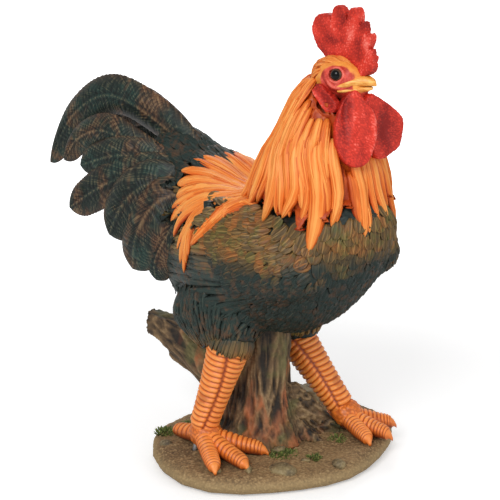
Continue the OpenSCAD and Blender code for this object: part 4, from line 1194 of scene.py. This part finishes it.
# %% Breast, wing and belly paint
def body_paint(name, low, high):
    """Ochre and olive above the heights low to high, teal black with rust flecks below them."""
    paint = Paint(name)
    ridge, tone = paint.attribute("ridge"), paint.attribute("tone")
    hair = hairs(paint, 5.0, 1.0)
    cloud, fleck, rust = paint.cloud(30), paint.cloud(75), paint.cloud(190)
    patch = paint.cloud(24, 2.0, stretch=(1, 1, 1.3))
    zone = paint.coordinate("Z") + (cloud - 0.5) * 0.05 + (tone - 0.5) * 0.012
    light = zone.step(low, high)
    worn = (ridge * 0.9 + (hair - 0.5) * 1.6 + 0.15).kept()
    tan = paint.mix("#74592F", "#A8652A", ((patch - 0.55) * 4 + (tone - 0.4) * 1.6).kept())
    tan = paint.mix(tan, "#5F6630", ((fleck - 0.5) * 6 + (tone - 0.6) * 1.5).kept() * 0.8)
    tan = paint.mix("#241B10", tan, worn)
    tan = paint.mix(tan, "#C09A62", ((ridge - 0.6) * 1.6 + (hair - 0.5) * 2.4).kept() * 0.42)
    dusk = paint.mix("#0E1412", "#22342F", worn)
    rusty = ((rust - 0.5) * 5 + (fleck - 0.5) * 3 + (tone - 0.5) * 0.5).kept()
    dusk = paint.mix(dusk, "#6B4326", rusty * worn * 0.6)
    dusk = paint.mix(dusk, "#8C8466", ((ridge - 0.7) * 1.2 + (hair - 0.62) * 2.5).kept() * 0.4)
    return paint.finish(paint.mix(dusk, tan, light), 0.48, paint.bump(hair, 0.55, 0.7 * MM), Specular_IOR_Level=0.35)


breast = body_paint("breast_plumage", 0.186, 0.216)
wing_coat = body_paint("wing_plumage", 0.18, 0.206)
thigh_coat = body_paint("thigh_plumage", 0.128, 0.1)
tail_root_coat = body_paint("tail_root_plumage", 0.6, 0.7)
COATS = {"torso": breast, "right_wing": wing_coat, "left_wing": wing_coat, "tail_root": tail_root_coat,
         "right_thigh": thigh_coat, "left_thigh": thigh_coat}
covered = {name: [] for name in [None] + PLUMED}
for spot in scatter(plumage, 3.9 * MM, 5, lambda spot: True, 90000):
    covered[owner(spot, flow_skin.find_nearest(Vector(spot))[1])].append(spot)
for name in BODY_NODES:
    kept = []
    for spot in covered[name]:
        if all(np.sum((spot - other) ** 2) > (PITCHES[name] * MM) ** 2 for other in kept):
            kept.append(spot)
    slot_name = "breast_paint" if name in ("torso", "right_wing", "left_wing") else "dark_plumage_paint"
    courses = body_courses(name, kept)
    if name.endswith("thigh"):
        word = name.split("_")[0]
        courses += cuff_courses(KNUCKLES[word], LEG_WAYS[word])
    deliver(lay(name + "_feathers", courses), slot_name, COATS[name], name)
bpy.data.objects.remove(plumage)


# The part's own saddle lobes are sunk by so many millimetres, within this reach of them
LOBE_SINK, LOBE_REACH = 3.5, 2 * MM


def body_under_carve(place, normal):
    """Fibres that flow back and down, under the feathers."""
    crest = fibres(place, unit(-1, 0, -0.4), 240)
    lobe = LOBE_SINK if node_skins["saddle"].find_nearest(place)[3] < LOBE_REACH else 0
    return (crest * 1.6 - 1.6 - lobe) * MM - spine_dent(*place), crest * 0.7


under_layer = smooth_form("under_plumage", BODY_NODES + ["saddle"], 2 * MM, 5)
sculpt(under_layer, body_under_carve)
deliver(under_layer, "dark_plumage_paint", tail_root_coat, "torso", "tail_root", "saddle")

# %% [markdown]
# ## The tail
# A cast tail feather is a thick leaf with a raised shaft and barbs that leave it at a slant, brushed lighter than the
# hollows. Its line is the part's own. The barbs are cut into its rings as slanting grooves and notch its edges, and
# the same slant is kept as a mark, so that the paint can draw finer hairs than the mesh holds.

# %% Tail feathers
TAIL_Z = BELLY_Z + BODY_H * 0.89
LEFT_TAIL = (0.86, 0.78, 0.88)
LEAF_SIDES, LEAF_DEPTH = 44, 3.4 * MM
# From barb to barb in the mesh, and in the finer hairs of the paint
BARB_PITCH, HAIR_PITCH = 4.4 * MM, 1.1 * MM
# Across a leaf, from 0 to 1: half widths of the shaft and of the grooves beside it, and where the grooves lie
SHAFT_HALF, VEIN_PLACE, VEIN_HALF = 0.08, 0.17, 0.08
# The barbs leave the shaft at about 30 degrees, and a feather's end is rounded from here on
BARB_SLOPE, ROUND_START = 1.7, 0.9


def tail_line(side, reach, quill, count):
    """A quill's line, its rows being shares of the reach back, up and out. The left side is smaller."""
    own = LEFT_TAIL if side > 0 else (1, 1, 1)
    line = []
    for k in range(count):
        s = between(quill, k / (count - 1))
        line.append((REAR_X - reach * s[0] * own[0], side * reach * s[2] * own[2], TAIL_Z + reach * s[1] * own[1]))
    return np.array(line)


def barbed_feather(name, side, reach, quill, width, width_rows, count, phase, bow=0.3):
    """A leaf along a quill, with a shaft and slanting barbs. width_rows holds shares of its width and depth."""
    line = tail_line(side, reach, quill, count)
    ahead = np.gradient(line, axis=0)
    step = np.linalg.norm(ahead, axis=1)
    run = np.concatenate([[0], np.cumsum((step[1:] + step[:-1]) / 2)])
    ahead /= step[:, None]
    across = np.cross(np.array((0, side, 0)), ahead)
    across /= np.linalg.norm(across, axis=1)[:, None]
    up = np.cross(ahead, across)
    turns = np.arange(LEAF_SIDES) * 2 * math.pi / LEAF_SIDES
    v, w = np.cos(turns), np.sin(turns)
    rings, marks = [], {"ridge": [], "across": [], "barb": [], "tone": []}
    for k in range(count):
        u = k / (count - 1)
        s = between(width_rows, u)
        tip = held((1 - u) / 0.06)
        past = max(0.0, (u - ROUND_START) / (1 - ROUND_START))
        half = width / 2 * s[0] * max(0.05, math.sqrt(max(0.0, 1 - past ** 2)))
        drift = np.array([noise.noise(Vector((run[k] * 70, float(x) * 1.5, side + phase))) for x in v])
        barb = (run[k] - np.abs(v) * half * BARB_SLOPE) / BARB_PITCH + 1.7 * drift
        clump = 0.5 + 0.5 * np.cos(2 * math.pi * barb)
        fine = 0.5 + 0.5 * np.cos(2 * math.pi * barb * 2.7 + 5 * drift)
        shaft = hill(v, 0, SHAFT_HALF)
        vein = hill(np.abs(v), VEIN_PLACE, VEIN_HALF)
        edge = 1 - 0.035 * clump * (1 - shaft) * np.abs(v)
        height = s[1] * LEAF_DEPTH * (np.abs(w) ** 0.8) * np.sign(w)
        relief = (0.75 * clump + 0.45 * fine) * MM * (1 - shaft) * np.clip(1.1 - v * v, 0, 1)
        relief = (relief + (0.8 * shaft - 0.7 * vein) * MM) * tip * np.clip(np.abs(w) * 3, 0, 1)
        height = height * 0.82 + np.sign(w) * relief - bow * half * v * v
        rings.append(line[k] + across[k] * (half * v * edge)[:, None] + up[k] * height[:, None])
        marks["ridge"].append(np.clip(0.5 * clump + 0.3 * fine + 0.35 * shaft - 0.45 * vein, 0, 1))
        marks["across"].append(v)
        marks["barb"].append((run[k] - np.abs(v) * half * BARB_SLOPE) / HAIR_PITCH)
        marks["tone"].append(np.full(LEAF_SIDES, 0.5 + 0.4 * math.sin(phase * 7 + side)))
    return ringed_body(name, rings, marks)


SICKLE_QUILL = [(-0.14, 0.02, 0.03), (0.22, 0.22, 0.06), (0.56, 0.31, 0.1), (0.84, 0.16, 0.14), (1.04, -0.14, 0.17)]
LESSER_QUILL = [(-0.06, -0.08, 0.12), (0.3, 0.07, 0.2), (0.6, 0.17, 0.25), (0.86, 0.08, 0.28), (1.03, -0.1, 0.29)]
SICKLE_WIDTHS = [(0.55, 0.9), (0.95, 1), (1, 1), (0.98, 0.9), (0.82, 0.8), (0.5, 0.5)]
FAN_WIDTHS = [(0.5, 0.8), (0.85, 1), (1, 1), (1.05, 0.9), (1, 0.8), (0.75, 0.5)]
FAN_QUILLS = [
    [(-0.1, -0.05, 0.12), (0.22, 0.02, 0.2), (0.51, 0.03, 0.31), (0.93, -0.11, 0.365)],
    [(-0.1, -0.05, 0.14), (0.22, -0.06, 0.26), (0.58, -0.2, 0.37), (1, -0.46, 0.435)],
    [(-0.12, -0.09, 0.17), (0.14, -0.14, 0.33), (0.32, -0.31, 0.42), (0.48, -0.58, 0.45)],
    [(-0.17, -0.15, 0.2), (0, -0.26, 0.365), (0.13, -0.51, 0.45), (0.2, -0.8, 0.45)],
    [(-0.22, -0.22, 0.22), (-0.16, -0.45, 0.37), (-0.05, -0.68, 0.42), (-0.02, -0.85, 0.4)]]
FAN_SIZES = [0.86, 0.95, 1.2, 1.22, 0.8]


# Rows: name, node, reach in millimetres, quill, width in millimetres, rings, and the phase of its barbs
LONG_FEATHERS = [("sickle", "sickle", 165, SICKLE_QUILL, 38, 221, 0.0),
                 ("lesser", "lesser_sickle", 132, LESSER_QUILL, 31, 181, 0.3)]


def tail_coat():
    """Teal black, dry-brushed light brown on the barbs and the shaft, rust along the edges and in the hollows."""
    paint = Paint("tail_plumage")
    ridge, across, barb = paint.attribute("ridge"), paint.attribute("across"), paint.attribute("barb")
    spot = paint.node("ShaderNodeCombineXYZ", {}, {0: barb, 1: across * 2.2, 2: paint.attribute("tone") * 30})
    hair = paint.node("ShaderNodeTexNoise", {}, {"Vector": spot, "Scale": 0.8, "Detail": 2.0, "Roughness": 0.55})
    patch, other = paint.cloud(26), paint.cloud(34, stretch=(1.4, 1, 1))
    worn = (ridge * 0.9 + (hair - 0.5) * 1.8 + 0.1).kept()
    body = paint.mix("#090E0D", "#1E322B", worn)
    body = paint.mix(body, "#1D4A42", patch.step(0.5, 0.66) * worn * 0.8)
    body = paint.mix(body, "#7A4527", (other.step(0.5, 0.64) * 0.7 + across ** 6 * 0.5).kept() * worn)
    brush = ((ridge - 0.5) * 1.3 + (hair - 0.5) * 3.2 + (other - 0.5) * 1.2).kept()
    body = paint.mix(body, "#94835F", brush * 0.55)
    return paint.finish(body, 0.42, paint.bump(hair, 0.6, 0.7 * MM), Specular_IOR_Level=0.35)


tail_paint = tail_coat()
for side, word in ((-1, "right"), (1, "left")):
    for name, node, reach, quill, width, count, phase in LONG_FEATHERS:
        feather = barbed_feather(f"{word}_{name}_feather", side, reach * MM, quill, width * MM, SICKLE_WIDTHS,
                                 count, phase)
        deliver(feather, "dark_plumage_paint", tail_paint, f"{word}_{node}")
    leaves = [barbed_feather(f"fan_{k}", side, 115 * MM, quill, 39 * MM * size, FAN_WIDTHS, 145, 0.4 + k, 0.15)
              for k, (quill, size) in enumerate(zip(FAN_QUILLS, FAN_SIZES))]
    deliver(joined(word + "_fan_feathers", leaves), "dark_plumage_paint", tail_paint, word + "_tail_fan")

# %% [markdown]
# ## Legs and feet
# A shank carries two rows of broad scutes that overlap downwards like tiles, parted by a line that faces forward.
# They are cut into a fine ringed body. Each toe is a ringed body too, arched, with cross ridges and a blunt claw.

# %% Shanks
SHANK_RINGS, SHANK_SIDES = 141, 72
# From scute to scute in front, the share of it behind, and a scute's height and sink in millimetres
SCUTE_PITCH, REAR_SHARE, SCUTE_HEIGHT, SCUTE_SINK = 4.9 * MM, 0.55, 1.7, 1.5
# Half the front scutes' reach round the shank, in radians
FRONT_REACH = 1.75


def shank_piece(word, knuckle, way, face_turn):
    """A shank from the knuckle up, whose parting line looks towards face_turn."""
    way = way.normalized()
    front = Vector((math.cos(face_turn), math.sin(face_turn), 0))
    front = (front - way * front.dot(way)).normalized()
    side = way.cross(front)

    def ring_at(u):
        radius = (12.3 + 6.7 * u ** 1.6 - 3.5 * max(0.0, 1 - u / 0.07)) * MM

        def spot_at(a):
            off = (a + math.pi) % (2 * math.pi) - math.pi - 0.25 * math.sin(u * 3.1)
            broad = abs(off) < FRONT_REACH
            pitch = SCUTE_PITCH if broad else SCUTE_PITCH * REAR_SHARE
            middle = abs(abs(off) - FRONT_REACH / 2) if broad else abs(abs(off) - 2.4)
            phase = (u * SHANK_LEN / pitch + (0.5 if off > 0 else 0) - 0.48 * middle * middle) % 1
            tile = min(1, phase * 5, (1 - phase) * 2.2) ** 0.7
            seam = min(1, abs(off) / 0.16) * min(1, abs(abs(off) - FRONT_REACH) / 0.14)
            height = tile * seam
            out = (front * math.cos(a) + side * math.sin(a)) * (radius + (height * SCUTE_HEIGHT - SCUTE_SINK) * MM)
            return knuckle + way * (u * SHANK_LEN) + out, height
        return spot_at
    return swept(word + "_shank_scutes", SHANK_RINGS, SHANK_SIDES, ring_at)


def leg_paint():
    paint = Paint("leg_orange")
    ridge = paint.attribute("ridge")
    mottle, grime = paint.cloud(140), paint.cloud(55)
    body = paint.mix("#8A3610", "#EE7F2C", (ridge * 1.7 - 0.15).kept())
    body = paint.mix(body, "#FFAC5C", ((ridge - 0.6) * 1.8 + (mottle - 0.5) * 1.4).kept() * 0.75)
    body = paint.mix(body, "#A8501C", grime.step(0.55, 0.72) * 0.5)
    return paint.finish(body, 0.42, paint.bump(mottle, 0.15, 0.5 * MM))


legs = leg_paint()
for word in ("right", "left"):
    deliver(shank_piece(word, KNUCKLES[word], LEG_WAYS[word], math.radians(-50)), "leg_paint", legs, word + "_shank")

# %% Toes
TOE_ROWS = [(0, 0.75, 1.2, 1.25), (0.3, 0.56, 1.05, 1.05), (0.62, 0.38, 0.95, 0.9), (0.86, 0.28, 0.8, 0.72),
            (0.99, 0.05, 0.2, 0.25)]
TOE_TURNS, TOE_REACHES = (-25, 3, 38, 178), (0.82, 0.93, 0.9, 0.66)
TOE_RINGS, TOE_SIDES = 145, 28
CLAW_START = 0.8
TOE_LENGTH, TOE_WIDTH, TOE_FOOT, TOE_RISE = 67 * MM, 8 * MM, 16.5 * MM, 19 * MM
ANKLE_SHIFT, ANKLE_SIZE = Vector((2, 2, -4)) * MM, Vector((15, 14, 13)) * MM


def toe_piece(name, knuckle, turn, reach, ridges):
    """An arched toe with cross ridges and a blunt claw."""
    turn = math.radians(turn)
    ahead = Vector((math.cos(turn), math.sin(turn), 0))
    across = Vector((-math.sin(turn), math.cos(turn), 0))
    root = Vector((knuckle.x, knuckle.y, TOE_FOOT))

    def ring_at(u):
        forward, rise, wide, high = between(TOE_ROWS, u)
        middle = root + ahead * (reach * forward) + Vector((0, 0, TOE_RISE * rise))
        if u > CLAW_START:
            t = (u - CLAW_START) / (1 - CLAW_START)
            band = 0
            shrink = 0.84 - 0.08 * t + 0.1 * hill(t, 0, 0.05)
            middle.z += 1.2 * MM * math.sin(t * 3.1)
        else:
            phase = (u / CLAW_START * ridges) % 1
            band = held(min(phase, 1 - phase) * 3.6)
            shrink = 0.9

        def spot_at(a):
            top = held(math.sin(a) * 0.75 + 0.35)
            swell = (shrink + 0.16 * band * top) * TOE_WIDTH
            spot = middle + across * (wide * swell * math.cos(a)) + Vector((0, 0, high * swell * math.sin(a)))
            return spot, 0.1 + 0.8 * band * top if u <= CLAW_START else 0.5 + 0.3 * max(0, math.sin(a))
        return spot_at
    return swept(name, TOE_RINGS, TOE_SIDES, ring_at)


def ankle_carve(place, normal):
    bead = pebble(place, 3.4 * MM)
    return (bead * 0.8 - 0.7) * MM, 0.3 + 0.4 * bead


def ankle_ball(word):
    """The knuckle that the shank and the toes grow out of."""
    ball = added("ankle", bpy.ops.mesh.primitive_uv_sphere_add, segments=64, ring_count=40, radius=1,
                 location=KNUCKLES[word] + ANKLE_SHIFT, scale=ANKLE_SIZE)
    bpy.ops.object.transform_apply()
    sculpt(ball, ankle_carve)
    return ball


for word, foot_turn, toe_share, hind in (("right", -6, 0.98, 1), ("left", 10, 0.8, 0.6)):
    reaches = [TOE_LENGTH * reach * toe_share for reach in TOE_REACHES]
    reaches[3] *= hind
    toes = [toe_piece(f"{word}_toe_{k}", KNUCKLES[word], foot_turn + TOE_TURNS[k], reaches[k], 13 if k < 3 else 6)
            for k in range(4)]
    ankle = ankle_ball(word)
    deliver(joined(word + "_foot_skin", toes + [ankle]), "leg_paint", legs, word + "_foot")

# %% [markdown]
# ## Stump and branch
# The stump is a gnarled trunk with roots, its bark in upright fibres, painted brown over black with green and rust
# in patches. Fibres come from noise that is stretched along the trunk, pressed into a fine remesh of the form.

# %% Bark
def bark_paint():
    paint = Paint("bark")
    ridge = paint.attribute("ridge")
    patch, crumbs = paint.cloud(26), paint.cloud(420)
    other = paint.cloud(34, stretch=(1, 1, 0.45))
    base = paint.mix("#1D150D", "#6F5639", (ridge * 1.45 + (crumbs - 0.5) * 0.6).kept())
    base = paint.mix(base, "#A88C64", ((ridge - 0.6) * 2 + (crumbs - 0.5) * 1.6).kept() * 0.7)
    base = paint.mix(base, "#535E2E", patch.step(0.5, 0.62) * (0.25 + 0.4 * ridge))
    base = paint.mix(base, "#A9562A", other.step(0.53, 0.66) * (0.2 + 0.6 * ridge))
    return paint.finish(base, 0.7, paint.bump(crumbs, 0.6, 0.9 * MM))


bark = bark_paint()
TRUNK_WAY, ROOT_WAY, BRANCH_WAY = unit(0.03, 0, 1), unit(0.8, 0.2, -0.6), unit(-0.87, -0.06, 0.5)


def bark_carve(way, fine, depth):
    """Carves fibres along the wood, and chips across them."""
    def carve(place, normal):
        crest = fibres(place, way, fine)
        chip = noise.noise(place * 55)
        flat = 1 - 0.6 * abs(normal.z) if way is TRUNK_WAY else 1
        return (crest * depth - 0.58 * depth + 1.1 * chip) * MM * flat, held(crest + 0.35 * chip)
    return carve


trunk = smooth_form("stump_bark", ["stump"], 1.2 * MM, 4)
sculpt(trunk, bark_carve(TRUNK_WAY, 165, 3.2))
deliver(trunk, "bark_paint", bark, "stump")


def bark_root(name, rows):
    """A root along rows of forward, left, height and half width in millimetres, open to the bark's carving."""
    def ring_at(u):
        x, y, z, wide = between(rows, u)

        def spot_at(a):
            across, up = wide * math.cos(a), wide * math.sin(a)
            return Vector((x + 0.5 * across, y + across, z + 0.8 * up)) * MM, 0
        return spot_at
    return swept(name, ROOT_RINGS, ROOT_SIDES, ring_at)


ROOT_RINGS, ROOT_SIDES = 61, 64
ROOT_ROWS = [(18, 2, 62, 9), (24, 12, 46, 11), (30, 22, 33, 12), (36, 31, 23, 10), (40, 38, 17, 7)]
extra_root = bark_root("extra_root", ROOT_ROWS)
sculpt(extra_root, bark_carve(ROOT_WAY, 165, 3.2))
deliver(extra_root, "bark_paint", bark)
limb = smooth_form("branch_bark", ["rear_branch"], 1.2 * MM, 3)
sculpt(limb, bark_carve(BRANCH_WAY, 150, 2.6))
deliver(limb, "bark_paint", bark, "rear_branch")

# %% [markdown]
# ## Ground, stones and moss
# The ground is cast grit painted sand over dark brown, with a paler worn rim. Stones are smooth and mottled. The
# moss is modelled as tufts of short blades, because flat green paint would not stand up from the ground.

# %% Ground
def ground_carve(place, normal):
    """Lumps and grit on the top and the rim, but nothing near the flat foot."""
    top = max(0.0, normal.z)
    lump = noise.noise(place * 45)
    grit = pebble(place, 2.3 * MM)
    fine = noise.noise(place * 420)
    low = held((place.z - 3 * MM) / (4 * MM))
    return (1.1 * lump * top + 0.9 * grit + 0.4 * fine - 0.5) * MM * low, 0.15 + 0.6 * grit + 0.3 * fine


def ground_paint():
    paint = Paint("gritty_ground")
    ridge = paint.attribute("ridge")
    patch, grit = paint.cloud(22), paint.cloud(600, 2.0)
    rim = 1 - paint.coordinate("Z").step(0.009, 0.0155)
    worn = (ridge * 1.2 + (grit - 0.5) * 1.8 + (patch - 0.5) * 1.2 + 0.15).kept()
    body = paint.mix("#553F29", "#96774F", worn)
    body = paint.mix(body, "#C0A67C", ((ridge - 0.5) * 1.6 + (grit - 0.5) * 2.0).kept() * 0.6)
    body = paint.mix(body, "#AE966A", rim * 0.5)
    return paint.finish(body, 0.8, paint.bump(grit, 0.6, 0.8 * MM))


# The height of the ground's top, in millimetres
GROUND_TOP = 15.5
earth = smooth_form("ground_grit", ["ground_base"], 1.4 * MM, 5)
sculpt(earth, ground_carve)
deliver(earth, "ground_paint", ground_paint(), "ground_base")

# %% Stones
# Stones that only the photograph shows: x, y, half length, half width, half height in millimetres, and turn
LOOSE_STONES = [(59, -48, 12, 9, 5, 20), (27, 13, 9, 7, 5, 70), (-38, 88, 15, 11, 10, 10), (84, -6, 6, 5, 4, 0),
                (20, -88, 5, 4, 3, 0), (-48, -82, 6, 4, 4, 30)]


def stone_paint():
    paint = Paint("mottled_stone")
    patch, speck = paint.cloud(70, 4.0), paint.cloud(520, 2.0)
    body = paint.mix("#4A3D2A", "#8A7750", patch.step(0.35, 0.6))
    body = paint.mix(body, "#B8A680", (speck - 0.42).kept() * 1.2)
    return paint.finish(body, 0.65, paint.bump(speck, 0.4, 0.6 * MM))


def stone_carve(place, normal):
    return (0.9 * noise.noise(place * 110) + 0.4 * noise.noise(place * 320) + 0.5) * MM, 0.5


lumps = [smooth_form("ground_stones", ["set_stones"], 1.2 * MM, 10)]
for x, y, long, wide, high, turn in LOOSE_STONES:
    lumps.append(added("loose_stone", bpy.ops.mesh.primitive_ico_sphere_add, subdivisions=4, radius=1,
                       location=Vector((x, y, GROUND_TOP)) * MM, rotation=(0, 0, math.radians(turn)),
                       scale=Vector((long, wide, high)) * MM))
    bpy.ops.object.transform_apply()
for lump in lumps:
    sculpt(lump, stone_carve)
deliver(joined("ground_stones", lumps), "ground_paint", stone_paint(), "set_stones")

# %% Moss
def moss_paint():
    paint = Paint("moss_green")
    along, tone = paint.attribute("along"), paint.attribute("tone")
    grain = paint.cloud(500, 2.0)
    body = paint.mix("#232A10", "#5C6A2A", (along * 0.9 + tone * 0.3 + (grain - 0.5) * 0.5).kept())
    return paint.finish(paint.mix(body, "#A0AC58", (along * tone * 1.2 - 0.4).kept()), 0.75,
                        paint.bump(grain, 0.3, 0.4 * MM))


moss_blade = straight_feather("moss_blade", [(-1, 0), (0, 0.8), (1, 0), (0, -0.8)],
                              [(0, 1, 1), (0.4, 0.85, 0.85), (0.8, 0.5, 0.5), (1, 0.08, 0.08)])
# x, y and reach of each bed in millimetres, and its number of blades
MOSS_BEDS = [
    (3, -50, 6, 60), (62, -13, 6, 50), (-66, -41, 6, 50), (38, -26, 12, 260), (50, 30, 8, 130), (-68, -66, 9, 160)]


def moss_courses():
    """Blades that lean outward from the middle of each bed."""
    courses = []
    for x, y, reach, count in MOSS_BEDS:
        for _ in range(count):
            turn, share = rng.uniform(0, 2 * math.pi), math.sqrt(rng.random())
            foot = np.array((x + reach * share * math.cos(turn), y + reach * share * math.sin(turn), GROUND_TOP)) * MM
            lean = np.array((math.cos(turn) * share, math.sin(turn) * share, 1.1))
            lean += [rng.uniform(-0.4, 0.4) for _ in range(3)]
            height = rng.uniform(2, 5.5) * MM * (1.2 - 0.5 * share)
            line = [foot + lean / np.linalg.norm(lean) * height * s for s in (0, 0.35, 0.7, 1)]
            normal = np.cross(lean, (math.sin(turn), -math.cos(turn), 0.2))
            courses.append((moss_blade, line, [normal] * 4, rng.uniform(0.6, 1.0) * MM, 0.7 * MM, rng.random()))
    return courses


deliver(lay("moss_blades", moss_courses()), "moss_paint", moss_paint(), "moss_tufts")

# %% [markdown]
# ## The felt and the rods
# These two are plain parts, so the part's own solids are shown and only painted: a napped green felt under the base
# and drawn steel inside the legs, with fine lines along the rods.

# %% Felt and rods
def felt_paint():
    paint = Paint("green_felt")
    fibre = paint.cloud(1400, 4.0, 0.7)
    return paint.finish(paint.mix("#1F2E1C", "#44583C", fibre), 0.95, paint.bump(fibre, 0.5, 0.4 * MM))


def steel_paint():
    paint = Paint("drawn_steel")
    lines = paint.cloud(1500, 2.0, stretch=(1, 1, 0.05))
    colour = paint.mix("#9A9DA2", "#C9CBCE", lines)
    return paint.finish(colour, 0.3 + lines * 0.15, Metallic=1.0)


def repaint(node, material):
    """Gives a solid of the part, shown as it is, its finish."""
    nodes[node].data.materials.clear()
    nodes[node].data.materials.append(material)


repaint("felt_sheet", felt_paint())
steel = steel_paint()
for word in ("right_leg_rod", "left_leg_rod"):
    repaint(word, steel)

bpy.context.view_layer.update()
print("seconds", round(time.time() - started, 1))
